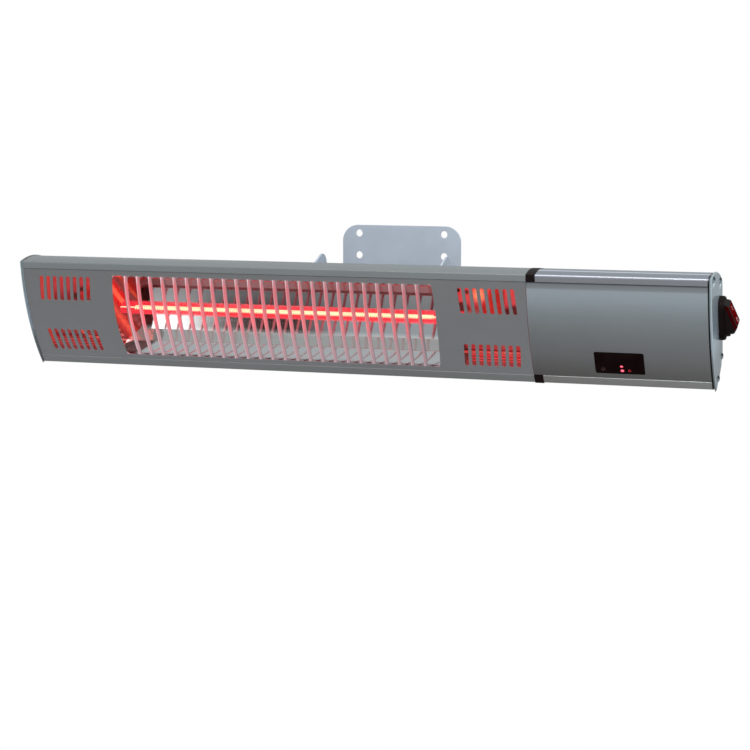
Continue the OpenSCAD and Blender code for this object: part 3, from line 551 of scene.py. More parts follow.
@dataclass(frozen=True)
class CapPaint(Paint):
    """The end caps' lacquer: painted shadows behind the right rim and above the sunk screws, painted
    highlights, painted red light inside.
    """

    # Painted shadow in the groove behind the right rim.
    groove: Triple = (0.40860, 0.0004, 0.0001)
    inside: float = -0.44945
    shadow: Rgb = (0.04, 0.035, 0.035)
    # Painted red light of the lamp on the inner faces, as emission.
    glow: Rgb = (0.38, 0.026, 0.016)
    # Colour of the painted highlight below each screw.
    dish_highlight: Rgb = (0.60, 0.78, 0.78)
    # Painted shadow above each sunk screw.
    well: Triple = (0.9 * MM, 3.9 * MM, 0.0003)
    # Place, size and soft edge of the painted highlight below each screw, as emission.
    painted_shine: Triple = (-5.2 * MM, 1.9 * MM, 0.0012)
    squeeze: float = 0.28
    # The rim keeps its full colour against the painted shading of the face: a painted highlight.
    rim: Triple = (X_RIGHT - 0.0005, 0.0003, 0.0002)
    # Painted shading of the face by height: lower down it is darker, at mid height lightest.
    face: Stops = ((-140.0, (0.42, 0.415, 0.385)), (-108.0, (0.47, 0.465, 0.44)),
                   (-85.0, (0.78, 0.79, 0.83)), (-50.0, (0.78, 0.79, 0.83)), (-30.0, (0.62, 0.64, 0.63)),
                   (0.0, (0.60, 0.63, 0.62)))

    def build(self, graph: Graph) -> None:
        """Adds the painted shadows, the painted shading by height, the painted highlights and the painted
        red light to the lacquer.
        """
        super().build(graph)
        x, y, z = graph.section()
        groove = graph.within(x, *self.groove)
        graph.shade(graph.most(groove, graph.spots(*self.well)), self.shadow)
        rim = graph.within(x, *self.rim)
        graph.multiply(graph.blend(rim, graph.by_height(z, self.face), WHITE))
        inner = graph.times(graph.within(x, self.inside + 0.04, 0.04, 0.00005),
                            graph.math("GREATER_THAN", y, INSIDE_Y))
        painted_shine = graph.times(graph.spots(*self.painted_shine, self.squeeze), 0.75)
        light = graph.ramp(painted_shine, ((0.0, DARK), (1.0, self.dish_highlight)))
        graph.put(Emission_Color=graph.blend(inner, light, self.glow), Emission_Strength=1.0)


@dataclass(frozen=True)
class SunkMetal(Metal):
    """Metal of the end caps' screws, with a painted shadow on the upper half."""

    shadow: Rgb = (0.05, 0.06, 0.065)
    spot: Triple = (2.2 * MM, 3.2 * MM, 0.0007)

    def build(self, graph: Graph) -> None:
        """Adds the painted shadow to the metal."""
        super().build(graph)
        graph.shade(graph.spots(*self.spot), self.shadow)


@dataclass(frozen=True)
class Plastic(Finish):
    """Moulded plastic with a fine spark-eroded grain."""

    name: str
    colour: Rgb
    roughness: float = 0.45
    grain: float = 1600.0
    bump: float = 0.15
    coat: float = 0.0
    specular: float = 0.5

    def build(self, graph: Graph) -> None:
        """Builds the grain and faint handling marks."""
        stops = ((0.35, scaled(self.colour, 0.85)), (0.65, scaled(self.colour, 1.15, 0.002)))
        graph.surface(graph.noise(EVEN, 60.0, 4.0), stops, (self.roughness - 0.06, self.roughness + 0.08),
                      (graph.noise(EVEN, self.grain, 1.0), self.bump, 0.06 * MM))
        graph.put(Coat_Weight=self.coat, Specular_IOR_Level=self.specular)


@dataclass(frozen=True)
class RubyGlass(Finish):
    """Ruby quartz of the lamp tube: mostly clear red, glowing faintly, with drawn streaks."""

    name: str = "ruby_glass"
    colour: Rgb = (0.6, 0.008, 0.015)
    alpha: float = 0.30
    glow: Rgb = (1.0, 0.045, 0.075)
    strength: float = 0.8

    def build(self, graph: Graph) -> None:
        """Builds the streaks along the tube and the glow."""
        streaks = graph.noise((6.0, 700.0, 700.0), 1.0, 2.0)
        graph.surface(streaks, ((0.3, scaled(self.colour, 0.8)), (0.7, self.colour)), (0.03, 0.09))
        graph.put(Alpha=self.alpha, Emission_Color=self.glow, Emission_Strength=self.strength,
                  Coat_Weight=0.6, Coat_Roughness=0.03)


@dataclass(frozen=True)
class Glow(Finish):
    """Something hot or lit that sends out light of its own, slightly uneven along its length."""

    name: str
    colour: Rgb
    light: Rgb
    strength: float
    unevenness: float = 0.12

    def build(self, graph: Graph) -> None:
        """Builds a glow that varies a little from place to place."""
        waves = graph.noise((60.0, 60.0, 60.0), 1.0, 1.0)
        low, high = scaled(self.light, 1 - self.unevenness), scaled(self.light, 1 + self.unevenness)
        graph.put(Emission_Color=graph.ramp(waves, ((0.3, low), (0.7, high))),
                  Emission_Strength=self.strength,
                  Base_Color=self.colour, Roughness=0.5)


@dataclass(frozen=True)
class Sleeve(Finish):
    """Braided glass-fibre sleeve of the lamp's leads, with the lamp's red light painted on as emission."""

    name: str = "glass_sleeve"
    colour: Rgb = (0.72, 0.68, 0.58)
    glow: Rgb = (0.9, 0.03, 0.03)

    def build(self, graph: Graph) -> None:
        """Builds two crossing sets of threads."""
        sets = [graph.add("ShaderNodeTexWave",
                          {"Vector": graph.stretched((side, 1.0, 1.0)), "Scale": 380.0, "Distortion": 0.6},
                          bands_direction="DIAGONAL").outputs["Fac"] for side in (1.0, -1.0)]
        threads = graph.most(*sets)
        graph.surface(threads, ((0.2, scaled(self.colour, 0.6)), (0.9, self.colour)), (0.75, 0.9),
                      (threads, 0.6, 0.3 * MM))
        # Painted red light of the lamp, as emission, stronger on the threads.
        graph.put(Emission_Strength=graph.span(threads, 0.0, 1.0, 0.3, 0.55), Emission_Color=self.glow)


# Finishes of this heater
DRAWN = {"grain": (6.0, 1400.0, 1400.0), "tint": 0.04, "bump": 0.03}
SHEET = {"grain": (3.0, 260.0, 260.0)}
FINE = {"grain": (300.0, 300.0, 300.0)}
# Painted shading on the panel: darker towards the top.
PANEL = GuardMetal("panel_aluminium", (0.310, 0.310, 0.318), metallic=0.2, roughness=0.45, specular=0.3,
                   painted_shading=((-126.0, WHITE), (-71.0, (0.78, 0.775, 0.77)), (-16.0, (0.65, 0.64, 0.63))),
                   **DRAWN)
# Painted shading on the housing: lighter along its bottom edge.
EXTRUSION = HousingMetal("heater_extrusion", (0.315, 0.330, 0.327), metallic=0.25, roughness=0.36,
                         painted_shading=((-128.0, (1.0, 0.98, 0.98)), (-100.0, (0.72, 0.72, 0.72)),
                                (0.0, (0.72, 0.735, 0.735))), **DRAWN)
# Painted shading, lighter along the bottom edge, with painted shade on the top ledge and painted highlight
# lines.
CONTROL = EdgeMetal("control_extrusion", (0.62, 0.64, 0.65), metallic=0.8, roughness=0.3,
                    lip_shade=(0.84, 0.80, 0.77), line=0.42,
                    painted_shading=((-138.0, (0.93, 0.94, 0.91)), (-122.0, (0.93, 0.94, 0.91)),
                           (-110.0, (0.53, 0.545, 0.59)), (0.0, (0.53, 0.545, 0.59))), **DRAWN)
# Painted shading on the cover: darker and browner low down, brightest just below the top, with a painted
# shadow under the top ledge.
COVER = EdgeMetal("control_cover", (0.425, 0.475, 0.50), metallic=0.9, roughness=0.34,
                  painted_shading=((-126.0, (0.72, 0.655, 0.615)), (-100.0, (0.82, 0.78, 0.76)),
                         (-71.0, (0.82, 0.79, 0.775)), (-50.0, (0.85, 0.84, 0.83)),
                         (-26.0, (0.98, 1.0, 1.0)), (-17.0, WHITE), (-14.6, (0.72, 0.68, 0.67)),
                         (-10.0, (0.58, 0.55, 0.54)), (-9.4, (0.30, 0.28, 0.29))), **DRAWN)
SUNK = SunkMetal("sunk_screw", (0.55, 0.62, 0.64), roughness=0.35, tint=0.08, **FINE)
LIT = LitMetal("lit_zinc", (0.5, 0.30, 0.28), roughness=0.3, tint=0.1, **FINE)
CAP_METAL = CapPaint("cap_lacquer", (0.53, 0.62, 0.66), roughness=0.36, metallic=0.45, coat=0.5, peel=900.0)
BRACKET = Paint("bracket_coat", (0.505, 0.56, 0.64), roughness=0.5, metallic=0.1, peel=650.0, bump=0.2)
# The end sheets are polished metal coloured red: a painted reflection of the lamp's red light.
MIRROR_END_PAINTED_RED = Metal("reflector_end_sheet", (0.62, 0.13, 0.12), roughness=0.10, tint=0.2, **SHEET)
# Painted shading on the reflector: darker behind the lamp and tinted red-brown by painted lamp light above
# it.
MIRROR = MirrorMetal("reflector_sheet", WHITE, roughness=0.07, tint=0.03, rough_spread=0.04, bump=0.05,
                     painted_shading=((-125.4, (0.20, 0.04, 0.06)), (-124.0, (0.62, 0.63, 0.63)),
                            (-72.0, (0.60, 0.61, 0.61)), (-71.0, (0.36, 0.34, 0.335)),
                            (-57.2, (0.42, 0.395, 0.39)), (-56.0, (0.42, 0.195, 0.195)),
                            (-36.0, (0.48, 0.22, 0.22)), (-16.0, (0.44, 0.205, 0.205))), **SHEET)
ZINC = Metal("zinc_plate", (0.62, 0.63, 0.64), roughness=0.3, tint=0.1, **FINE)
BRIGHT = Metal("bright_screw", (0.8, 0.81, 0.83), roughness=0.18, grain=(500.0, 500.0, 500.0), tint=0.05)
RUBY = RubyGlass()
COIL = Glow("hot_coil", (0.9, 0.5, 0.3), (1.0, 0.72, 0.42), 2.3)
CERAMIC = Paint("lamp_ceramic", (0.78, 0.74, 0.66), roughness=0.6, peel=1500.0, bump=0.3)
SLEEVE = Sleeve()
BLACK = Plastic("black_polyamide", (0.008, 0.0022, 0.0018), roughness=0.5, specular=0.12)
GLOSS = Plastic("dark_acrylic", (0.006, 0.001, 0.001), roughness=0.06, grain=300.0, bump=0.01, specular=0.07)
RUBBER = Plastic("switch_skin", (0.008, 0.0025, 0.002), roughness=0.4, grain=900.0, bump=0.05, specular=0.15)
LENS_SIDE = Plastic("switch_lens_side", (0.055, 0.0015, 0.002), roughness=0.3, grain=500.0, bump=0.02,
                    specular=0.0)
LENS = Plastic("switch_lens", (0.13, 0.0015, 0.002), roughness=0.25, grain=500.0, bump=0.02, specular=0.0)
FIBRE = Plastic("friction_fibre", (0.03, 0.028, 0.026), roughness=0.85, grain=700.0, bump=0.5)
BOARD = Plastic("solder_mask", (0.01, 0.09, 0.03), roughness=0.35, grain=400.0, bump=0.1, coat=0.2)
RELAY = Plastic("relay_case", (0.03, 0.07, 0.3), roughness=0.4)
TERMINAL = Plastic("terminal_case", (0.02, 0.2, 0.07), roughness=0.45)
LED = Glow("indicator", (0.4, 0.02, 0.03), (1.0, 0.1, 0.16), 2.2)
TIMER = Glow("timer_light", (0.3, 0.01, 0.02), (1.0, 0.03, 0.06), 0.55)
FAINT = Glow("faint_icon", (0.06, 0.02, 0.02), (0.10, 0.055, 0.06), 0.8)
MARK = Paint("switch_mark", (0.45, 0.22, 0.24), roughness=0.4, peel=1200.0)

# The CAD nodes that wear each finish
WORN: dict[Finish, str] = {
    BRACKET: "wall_bracket arm_left arm_right", EXTRUSION: "heater_housing", CONTROL: "control_housing",
    ZINC: "pivot_bolts pivot_washers pivot_nuts arm_screws display_posts board_posts",
    PANEL: "front_panel", COVER: "control_cover", MIRROR: "reflector", RUBY: "lamp_tube", COIL: "lamp_coil",
    MIRROR_END_PAINTED_RED: "reflector_end_left reflector_end_right", CERAMIC: "lamp_caps", SLEEVE: "lamp_leads",
    LIT: "lamp_holder_left lamp_holder_right heat_shield", CAP_METAL: "left_end_cap right_end_cap",
    BRIGHT: "left_cap_screws right_cap_screws", BLACK: "collar switch_frame cable_gland",
    GLOSS: "display_window", BOARD: "display_board power_board", LED: "display_leds", RELAY: "relay",
    TERMINAL: "terminal_block", RUBBER: "switch_rocker", LENS: "switch_lens", FIBRE: "spacer_washers",
}
NODE_FINISH = {node: finish for finish, nodes in WORN.items() for node in nodes.split()}


class GeoTree(Graph):
    """A Geometry Nodes tree with named inputs: a modifier's tree, or one that becomes a plain mesh."""

    def __init__(self, name: str, inputs: dict[str, float] | None = None) -> None:
        """Starts the tree.

        Args:
            name: Name of the node group.
            inputs: Named sizes, with their values; whole numbers make whole-number sockets.
        """
        super().__init__(bpy.data.node_groups.new(name, "GeometryNodeTree"))
        self.inputs = inputs or {}
        self.models: list[Object] = []
        face = self.tree.interface
        face.new_socket("Geometry", in_out="INPUT", socket_type="NodeSocketGeometry")
        for label, value in self.inputs.items():
            kind = "NodeSocketInt" if isinstance(value, int) else "NodeSocketFloat"
            face.new_socket(label, in_out="INPUT", socket_type=kind).default_value = value
        face.new_socket("Geometry", in_out="OUTPUT", socket_type="NodeSocketGeometry")
        self.source = self.add("NodeGroupInput").outputs

    def model(self, mesh: Mesh) -> NodeSocket:
        """Brings a mesh into the tree as an instance to be repeated."""
        carrier = linked(mesh.name + "_model", mesh)
        self.models.append(carrier)
        info = self.add("GeometryNodeObjectInfo", {"Object": carrier, "As Instance": True})
        return info.outputs["Geometry"]

    def wire(self, curve: NodeSocket, radius: str, sides: int) -> NodeSocket:
        """Sweeps a round wire along a curve; its radius is a named input."""
        profile = self.add("GeometryNodeCurvePrimitiveCircle",
                           {"Resolution": sides, "Radius": self.source[radius]})
        swept = {"Curve": curve, "Profile Curve": profile.outputs["Curve"], "Fill Caps": True}
        return self.add("GeometryNodeCurveToMesh", swept).outputs[0]

    def moved(self, part: NodeSocket, place: Triple) -> NodeSocket:
        """Lays what stands along Z along X and moves it to a place."""
        values = {"Geometry": part, "Rotation": (0, math.pi / 2, 0), "Translation": place}
        return self.add("GeometryNodeTransform", values).outputs[0]

    def joined(self, *parts: NodeSocket) -> NodeSocket:
        """Joins geometries."""
        both = self.add("GeometryNodeJoinGeometry")
        for part in parts:
            self.tree.links.new(part, both.inputs[0])
        return both.outputs[0]

    def end(self, geometry: NodeSocket) -> NodeTree:
        """Ends the tree in a geometry and gives its node group."""
        self.add("NodeGroupOutput", {0: geometry})
        return self.tree

    def store(self, attribute: str, domain: str, value: NodeSocket) -> NodeTree:
        """Ends the tree in storing a value as an attribute, and gives its node group."""
        values = {"Geometry": self.source[0], "Name": attribute, "Value": value}
        node = self.add("GeometryNodeStoreNamedAttribute", values, data_type="FLOAT", domain=domain)
        return self.end(node.outputs[0])

    def make(self, name: str, geometry: NodeSocket, finish: Finish, source: Mesh | None = None) -> Object:
        """Ends the tree in Realize Instances and Set Material and evaluates it into an object of its own.

        Args:
            name: Name of the piece.
            geometry: What the tree gives.
            finish: Finish of the piece.
            source: Mesh that the tree works on, or None.

        Returns:
            The piece as a plain mesh.
        """
        real = self.add("GeometryNodeRealizeInstances", {"Geometry": geometry})
        dressed = {"Geometry": real.outputs[0], "Material": finish.material()}
        self.end(self.add("GeometryNodeSetMaterial", dressed).outputs[0])
        carrier = linked(name + "_source", source or bpy.data.meshes.new(name + "_source"))
        modifier = carrier.modifiers.new("tree", "NODES")
        modifier.node_group = self.tree
        for item in self.tree.interface.items_tree:
            if item.in_out == "INPUT" and item.name in self.inputs:
                modifier[item.identifier] = self.inputs[item.name]
        bpy.context.view_layer.update()
        deps = bpy.context.evaluated_depsgraph_get()
        mesh = bpy.data.meshes.new_from_object(carrier.evaluated_get(deps))
        mesh.name = name
        carrier.modifiers.remove(modifier)
        for used in (carrier, *self.models):
            bpy.data.objects.remove(used)
        return linked(name, mesh)


def linked(name: str, data: object) -> Object:
    """Makes an object and links it to the scene."""
    obj = bpy.data.objects.new(name, data)
    bpy.context.scene.collection.objects.link(obj)
    return obj


# Marks on edges and faces, made with trees
ACROSS = (0.0, 1.0, 1.0)
INNER_AXIS = (0.0, 0.030, LAMP[2])
SMOOTH_UNDER = math.radians(50)
ROUND_OVER = math.radians(32)
RIM_OVER = math.radians(60)
FLAT_WITHIN = math.radians(0.3)
EDGE_REACH = 0.7 * MM
LONG_FROM = 50 * MM
RIM_REACH = 0.1 * MM
PORT_REACH = 4.9 * MM
SWITCH_REACH = 30 * MM


def shade_group(angle: float) -> NodeTree:
    """Gives the tree that shades a mesh smooth except at edges sharper than an angle."""
    name = f"soft_shade_{round(math.degrees(angle))}"
    known = bpy.data.node_groups.get(name)
    if known:
        return known
    tree = GeoTree(name)
    plain = tree.add("GeometryNodeSetMeshNormal", {"Mesh": tree.source[0]})
    smooth = tree.add("GeometryNodeSetShadeSmooth", {"Geometry": plain.outputs[0], "Shade Smooth": True},
                      domain="FACE")
    bend = tree.add("GeometryNodeInputMeshEdgeAngle").outputs["Unsigned Angle"]
    sharp = tree.add("FunctionNodeCompare", {"A": bend, "B": angle}, data_type="FLOAT",
                     operation="GREATER_THAN")
    values = {"Geometry": smooth.outputs[0], "Selection": sharp.outputs["Result"], "Shade Smooth": False}
    return tree.end(tree.add("GeometryNodeSetShadeSmooth", values, domain="EDGE").outputs[0])


def inner_group() -> NodeTree:
    """Gives the tree that marks, as the attribute inner, the faces that look towards the lamp."""
    graph = GeoTree("inner_faces")
    place = graph.add("GeometryNodeInputPosition").outputs[0]
    to_axis = graph.vector("SUBTRACT", tuple(SECTION.place(*INNER_AXIS)), place).outputs[0]
    flat = graph.vector("MULTIPLY", to_axis, ACROSS).outputs[0]
    normal = graph.add("GeometryNodeInputNormal").outputs[0]
    facing = graph.vector("DOT_PRODUCT", flat, normal).outputs["Value"]
    return graph.store("inner", "FACE", graph.math("GREATER_THAN", facing, 0.0))


def long_edge_group() -> NodeTree:
    """Gives the tree that marks an extrusion's outer long edges, each with its share of the rounding."""
    graph = GeoTree("long_edges")
    ends = graph.add("GeometryNodeInputMeshEdgeVertices").outputs
    length = graph.vector("DISTANCE", ends["Position 1"], ends["Position 2"]).outputs["Value"]
    place = graph.vector("MULTIPLY", ends["Position 1"], ACROSS).outputs[0]
    near = [graph.math("LESS_THAN", graph.away(place, SECTION.place(0.0, y, z)), EDGE_REACH)
            for y, z, _ in EXTRUSION_EDGES]
    shares = [graph.times(here, share) for here, (_, _, share) in zip(near, EXTRUSION_EDGES)]
    total = reduce(lambda a, b: graph.math("ADD", a, b), shares)
    long = graph.math("GREATER_THAN", length, LONG_FROM)
    return graph.store("bevel_weight_edge", "EDGE", graph.times(long, total))


def rim_group() -> NodeTree:
    """Gives the tree that marks the outer rim of an end cap for rounding, its holes left out."""
    graph = GeoTree("cap_rim")
    ends = graph.add("GeometryNodeInputMeshEdgeVertices").outputs
    bend = graph.add("GeometryNodeInputMeshEdgeAngle").outputs["Unsigned Angle"]
    tests = [graph.math("GREATER_THAN", bend, RIM_OVER)]
    for side in ("Position 1", "Position 2"):
        x = graph.add("ShaderNodeSeparateXYZ", {0: ends[side]}).outputs["X"]
        tests.append(graph.most(graph.math("GREATER_THAN", x, X_RIGHT - RIM_REACH),
                                graph.math("LESS_THAN", x, X_LEFT + RIM_REACH)))
    place = graph.vector("MULTIPLY", ends["Position 1"], ACROSS).outputs[0]
    for y, z, reach in [(*port, PORT_REACH) for port in CAP_SCREWS] + [(*SWITCH_YZ, SWITCH_REACH)]:
        tests.append(graph.math("GREATER_THAN", graph.away(place, SECTION.place(0.0, y, z)), reach))
    return graph.store("bevel_weight_edge", "EDGE", graph.times(*tests))


def modify(obj: Object, name: str, kind: str, **props: object) -> None:
    """Adds a modifier with its properties."""
    modifier = obj.modifiers.new(name, kind)
    for prop, value in props.items():
        setattr(modifier, prop, value)


def soften(obj: Object, width: float = 0.0, angle: float = ROUND_OVER,
           marks: NodeTree | None = None) -> None:
    """Rounds the sharp edges of a piece and shades the rest smooth, with modifiers only.

    Args:
        obj: The piece.
        width: Width of the rounding, in metres; 0 leaves the edges sharp.
        angle: Edges sharper than this are rounded.
        marks: The tree that marks the only edges to be rounded, or None.
    """
    modify(obj, "weld", "WELD", merge_threshold=1e-6)
    if marks:
        modify(obj, "flat", "DECIMATE", decimate_type="DISSOLVE", angle_limit=FLAT_WITHIN)
        modify(obj, "marks", "NODES", node_group=marks)
        modify(obj, "round", "BEVEL", width=width, segments=4, limit_method="WEIGHT",
               use_clamp_overlap=False)
    elif width > 0:
        modify(obj, "round", "BEVEL", width=width, segments=2, limit_method="ANGLE", angle_limit=angle,
               miter_outer="MITER_ARC", use_clamp_overlap=True)
    modify(obj, "shade", "NODES", node_group=shade_group(SMOOTH_UNDER if width > 0 else angle))
    modify(obj, "flats", "WEIGHTED_NORMAL", keep_sharp=True, weight=100)


# Meshes and pieces
def add_piece(name: str, mesh: Mesh, finish: Finish, body: str) -> Object:
    """Adds a mesh, already in place, as a piece that rides on a body."""
    return settle(linked(name, mesh), finish, body)


def settle(piece: Object, finish: Finish, body: str) -> Object:
    """Gives a piece its finish in one material slot and its body, and reports it."""
    piece.data.materials.clear()
    piece.data.materials.append(finish.material())
    for polygon in piece.data.polygons:
        polygon.material_index = 0
    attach(piece, body)
    LOG.info("%s: %d faces on %s", piece.name, len(piece.data.polygons), body)
    return piece


def ended(bm: bmesh.types.BMesh, name: str) -> Mesh:
    """Turns a bmesh into a mesh and frees it."""
    mesh = bpy.data.meshes.new(name)
    bm.to_mesh(mesh)
    bm.free()
    return mesh


def turned(name: str, profile: Sequence[Pair], segments: int, shape: Shape | None = None,
           closed: bool = False) -> Mesh:
    """Turns a profile about Z into a mesh.

    Args:
        name: Name of the mesh.
        profile: Pairs of radius and height, from the bottom up; radius 0 closes an end.
        segments: Steps around the axis.
        shape: Changes a point: takes its radius, angle and height and gives radius and height.
        closed: Joins the last ring to the first, for a part with a bore.

    Returns:
        The mesh.
    """
    bm = bmesh.new()
    rings: list[list[bmesh.types.BMVert]] = []
    for radius, height in profile:
        ring = []
        for step in range(1 if radius <= 0 else segments):
            a = 2 * math.pi * step / segments
            r, z = shape(radius, a, height) if shape else (radius, height)
            ring.append(bm.verts.new((r * math.cos(a), r * math.sin(a), z)))
        rings.append(ring)
    for low, high in list(zip(rings, rings[1:])) + ([(rings[-1], rings[0])] if closed else []):
        for step in range(segments):
            after = (step + 1) % segments
            unique = list(dict.fromkeys((low[step % len(low)], low[after % len(low)],
                                         high[after % len(high)], high[step % len(high)])))
            if len(unique) > 2:
                bm.faces.new(unique)
    bmesh.ops.recalc_face_normals(bm, faces=bm.faces)
    return ended(bm, name)


def slab(name: str, outline: Sequence[Pair], low: float, high: float,
         rounding: float) -> Mesh:
    """Raises an outline into a slab along Z with rounded upper edges.

    Args:
        name: Name of the mesh.
        outline: Points (x, y) of the outline.
        low: Height of the underside.
        high: Height of the top.
        rounding: Width of the rounding of the top edges.

    Returns:
        The mesh.
    """
    bm = bmesh.new()
    base = bm.faces.new([bm.verts.new((x, y, low)) for x, y in outline])
    raised = bmesh.ops.extrude_face_region(bm, geom=[base])
    top = [item for item in raised["geom"] if isinstance(item, bmesh.types.BMVert)]
    bmesh.ops.translate(bm, verts=top, vec=(0, 0, high - low))
    bmesh.ops.recalc_face_normals(bm, faces=bm.faces)
    edges = [edge for edge in bm.edges if all(abs(vert.co.z - high) < 1e-9 for vert in edge.verts)]
    bmesh.ops.bevel(bm, geom=edges, offset=rounding, segments=3, affect="EDGES", profile=0.5)
    return ended(bm, name)


def placed(mesh: Mesh, matrix: Matrix) -> Mesh:
    """Moves a mesh by a matrix and gives it back."""
    mesh.transform(matrix)
    return mesh


def merged(name: str, parts: Iterable[Mesh]) -> Mesh:
    """Joins meshes into one and removes the separate ones."""
    bm = bmesh.new()
    for part in parts:
        bm.from_mesh(part)
        bpy.data.meshes.remove(part)
    return ended(bm, name)


def rounded(length: float, width: float, radius: float, steps: int = 5) -> list[Pair]:
    """Gives the outline of a rectangle with round corners, centred on zero."""
    points = []
    for corner in range(4):
        middle_x = (length / 2 - radius) * (1 if corner in (0, 3) else -1)
        middle_y = (width / 2 - radius) * (1 if corner in (0, 1) else -1)
        for step in range(steps + 1):
            turn = math.pi / 2 * (corner + step / steps)
            points.append((middle_x + radius * math.cos(turn), middle_y + radius * math.sin(turn)))
    return points


@dataclass
class CadDress:
    """Gives every CAD node its finish and its rounded edges; the widths are in millimetres."""

    extruded: tuple[str, ...] = ("heater_housing", "control_housing")
    caps: tuple[str, ...] = ("left_end_cap", "right_end_cap")
    rounding: tuple[tuple[float, str], ...] = (
        (1.3, "heater_housing control_housing"), (0.8, "left_end_cap right_end_cap"), (0.6, "switch_frame"),
        (0.5, "switch_rocker"), (0.4, "wall_bracket arm_left arm_right"), (0.25, "control_cover collar"),
        (0.15, "display_window reflector"), (0.12, "front_panel"))
    fold_angle: float = math.radians(8)

    def dress(self) -> None:
        """Assigns the finishes and adds the roundings."""
        widths = {name: width * MM for width, names in self.rounding for name in names.split()}
        marks = dict.fromkeys(self.extruded, long_edge_group()) | dict.fromkeys(self.caps, rim_group())
        for name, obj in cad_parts.items():
            finish = NODE_FINISH[name]
            for slot in obj.material_slots:
                slot.material = finish.material()
            if name in widths:
                angle = self.fold_angle if name == "reflector" else ROUND_OVER
                soften(obj, widths[name], angle, marks.get(name))
            if name == "heater_housing":
                modify(obj, "inner", "NODES", node_group=inner_group())
            LOG.info("%s: %s", name, finish.name)


@dataclass
class Lamp:
    """Ruby lamp: the wound coil in its tube."""

    coil_len: float = 0.390
    coil_radius: float = 2.35 * MM
    wire_radius: float = 0.55 * MM
    pitch: float = 2.6 * MM
    lead_radius: float = 0.8 * MM
    lead_len: float = 0.512

    def build(self) -> None:
        """Winds the coil along X, with a straight lead at each end."""
        tree = GeoTree("coil_tree", {"Turns": self.coil_len / self.pitch, "Radius": self.coil_radius,
                                     "Wire": self.wire_radius, "Length": self.coil_len,
                                     "Lead": self.lead_radius, "Steps": 10})
        size = tree.source
        spiral = tree.add("GeometryNodeCurveSpiral", {
            "Resolution": size["Steps"], "Rotations": size["Turns"], "Start Radius": size["Radius"],
            "End Radius": size["Radius"], "Height": size["Length"]})
        lead = tree.add("GeometryNodeMeshCylinder",
                        {"Vertices": 10, "Radius": size["Lead"], "Depth": self.lead_len})
        coil = tree.moved(tree.wire(spiral.outputs[0], "Wire", 5), (LAMP[0] - self.coil_len / 2, *LAMP[1:]))
        piece = tree.make("hot_coil", tree.joined(coil, tree.moved(lead.outputs["Mesh"], LAMP)), COIL)
        piece.data.transform(SECTION.matrix())
        settle(piece, COIL, "heater")
        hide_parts("lamp_coil")


class Drive(Enum):
    """Recess in a screw's head."""

    CROSS = "cross"
    SLOT = "slot"


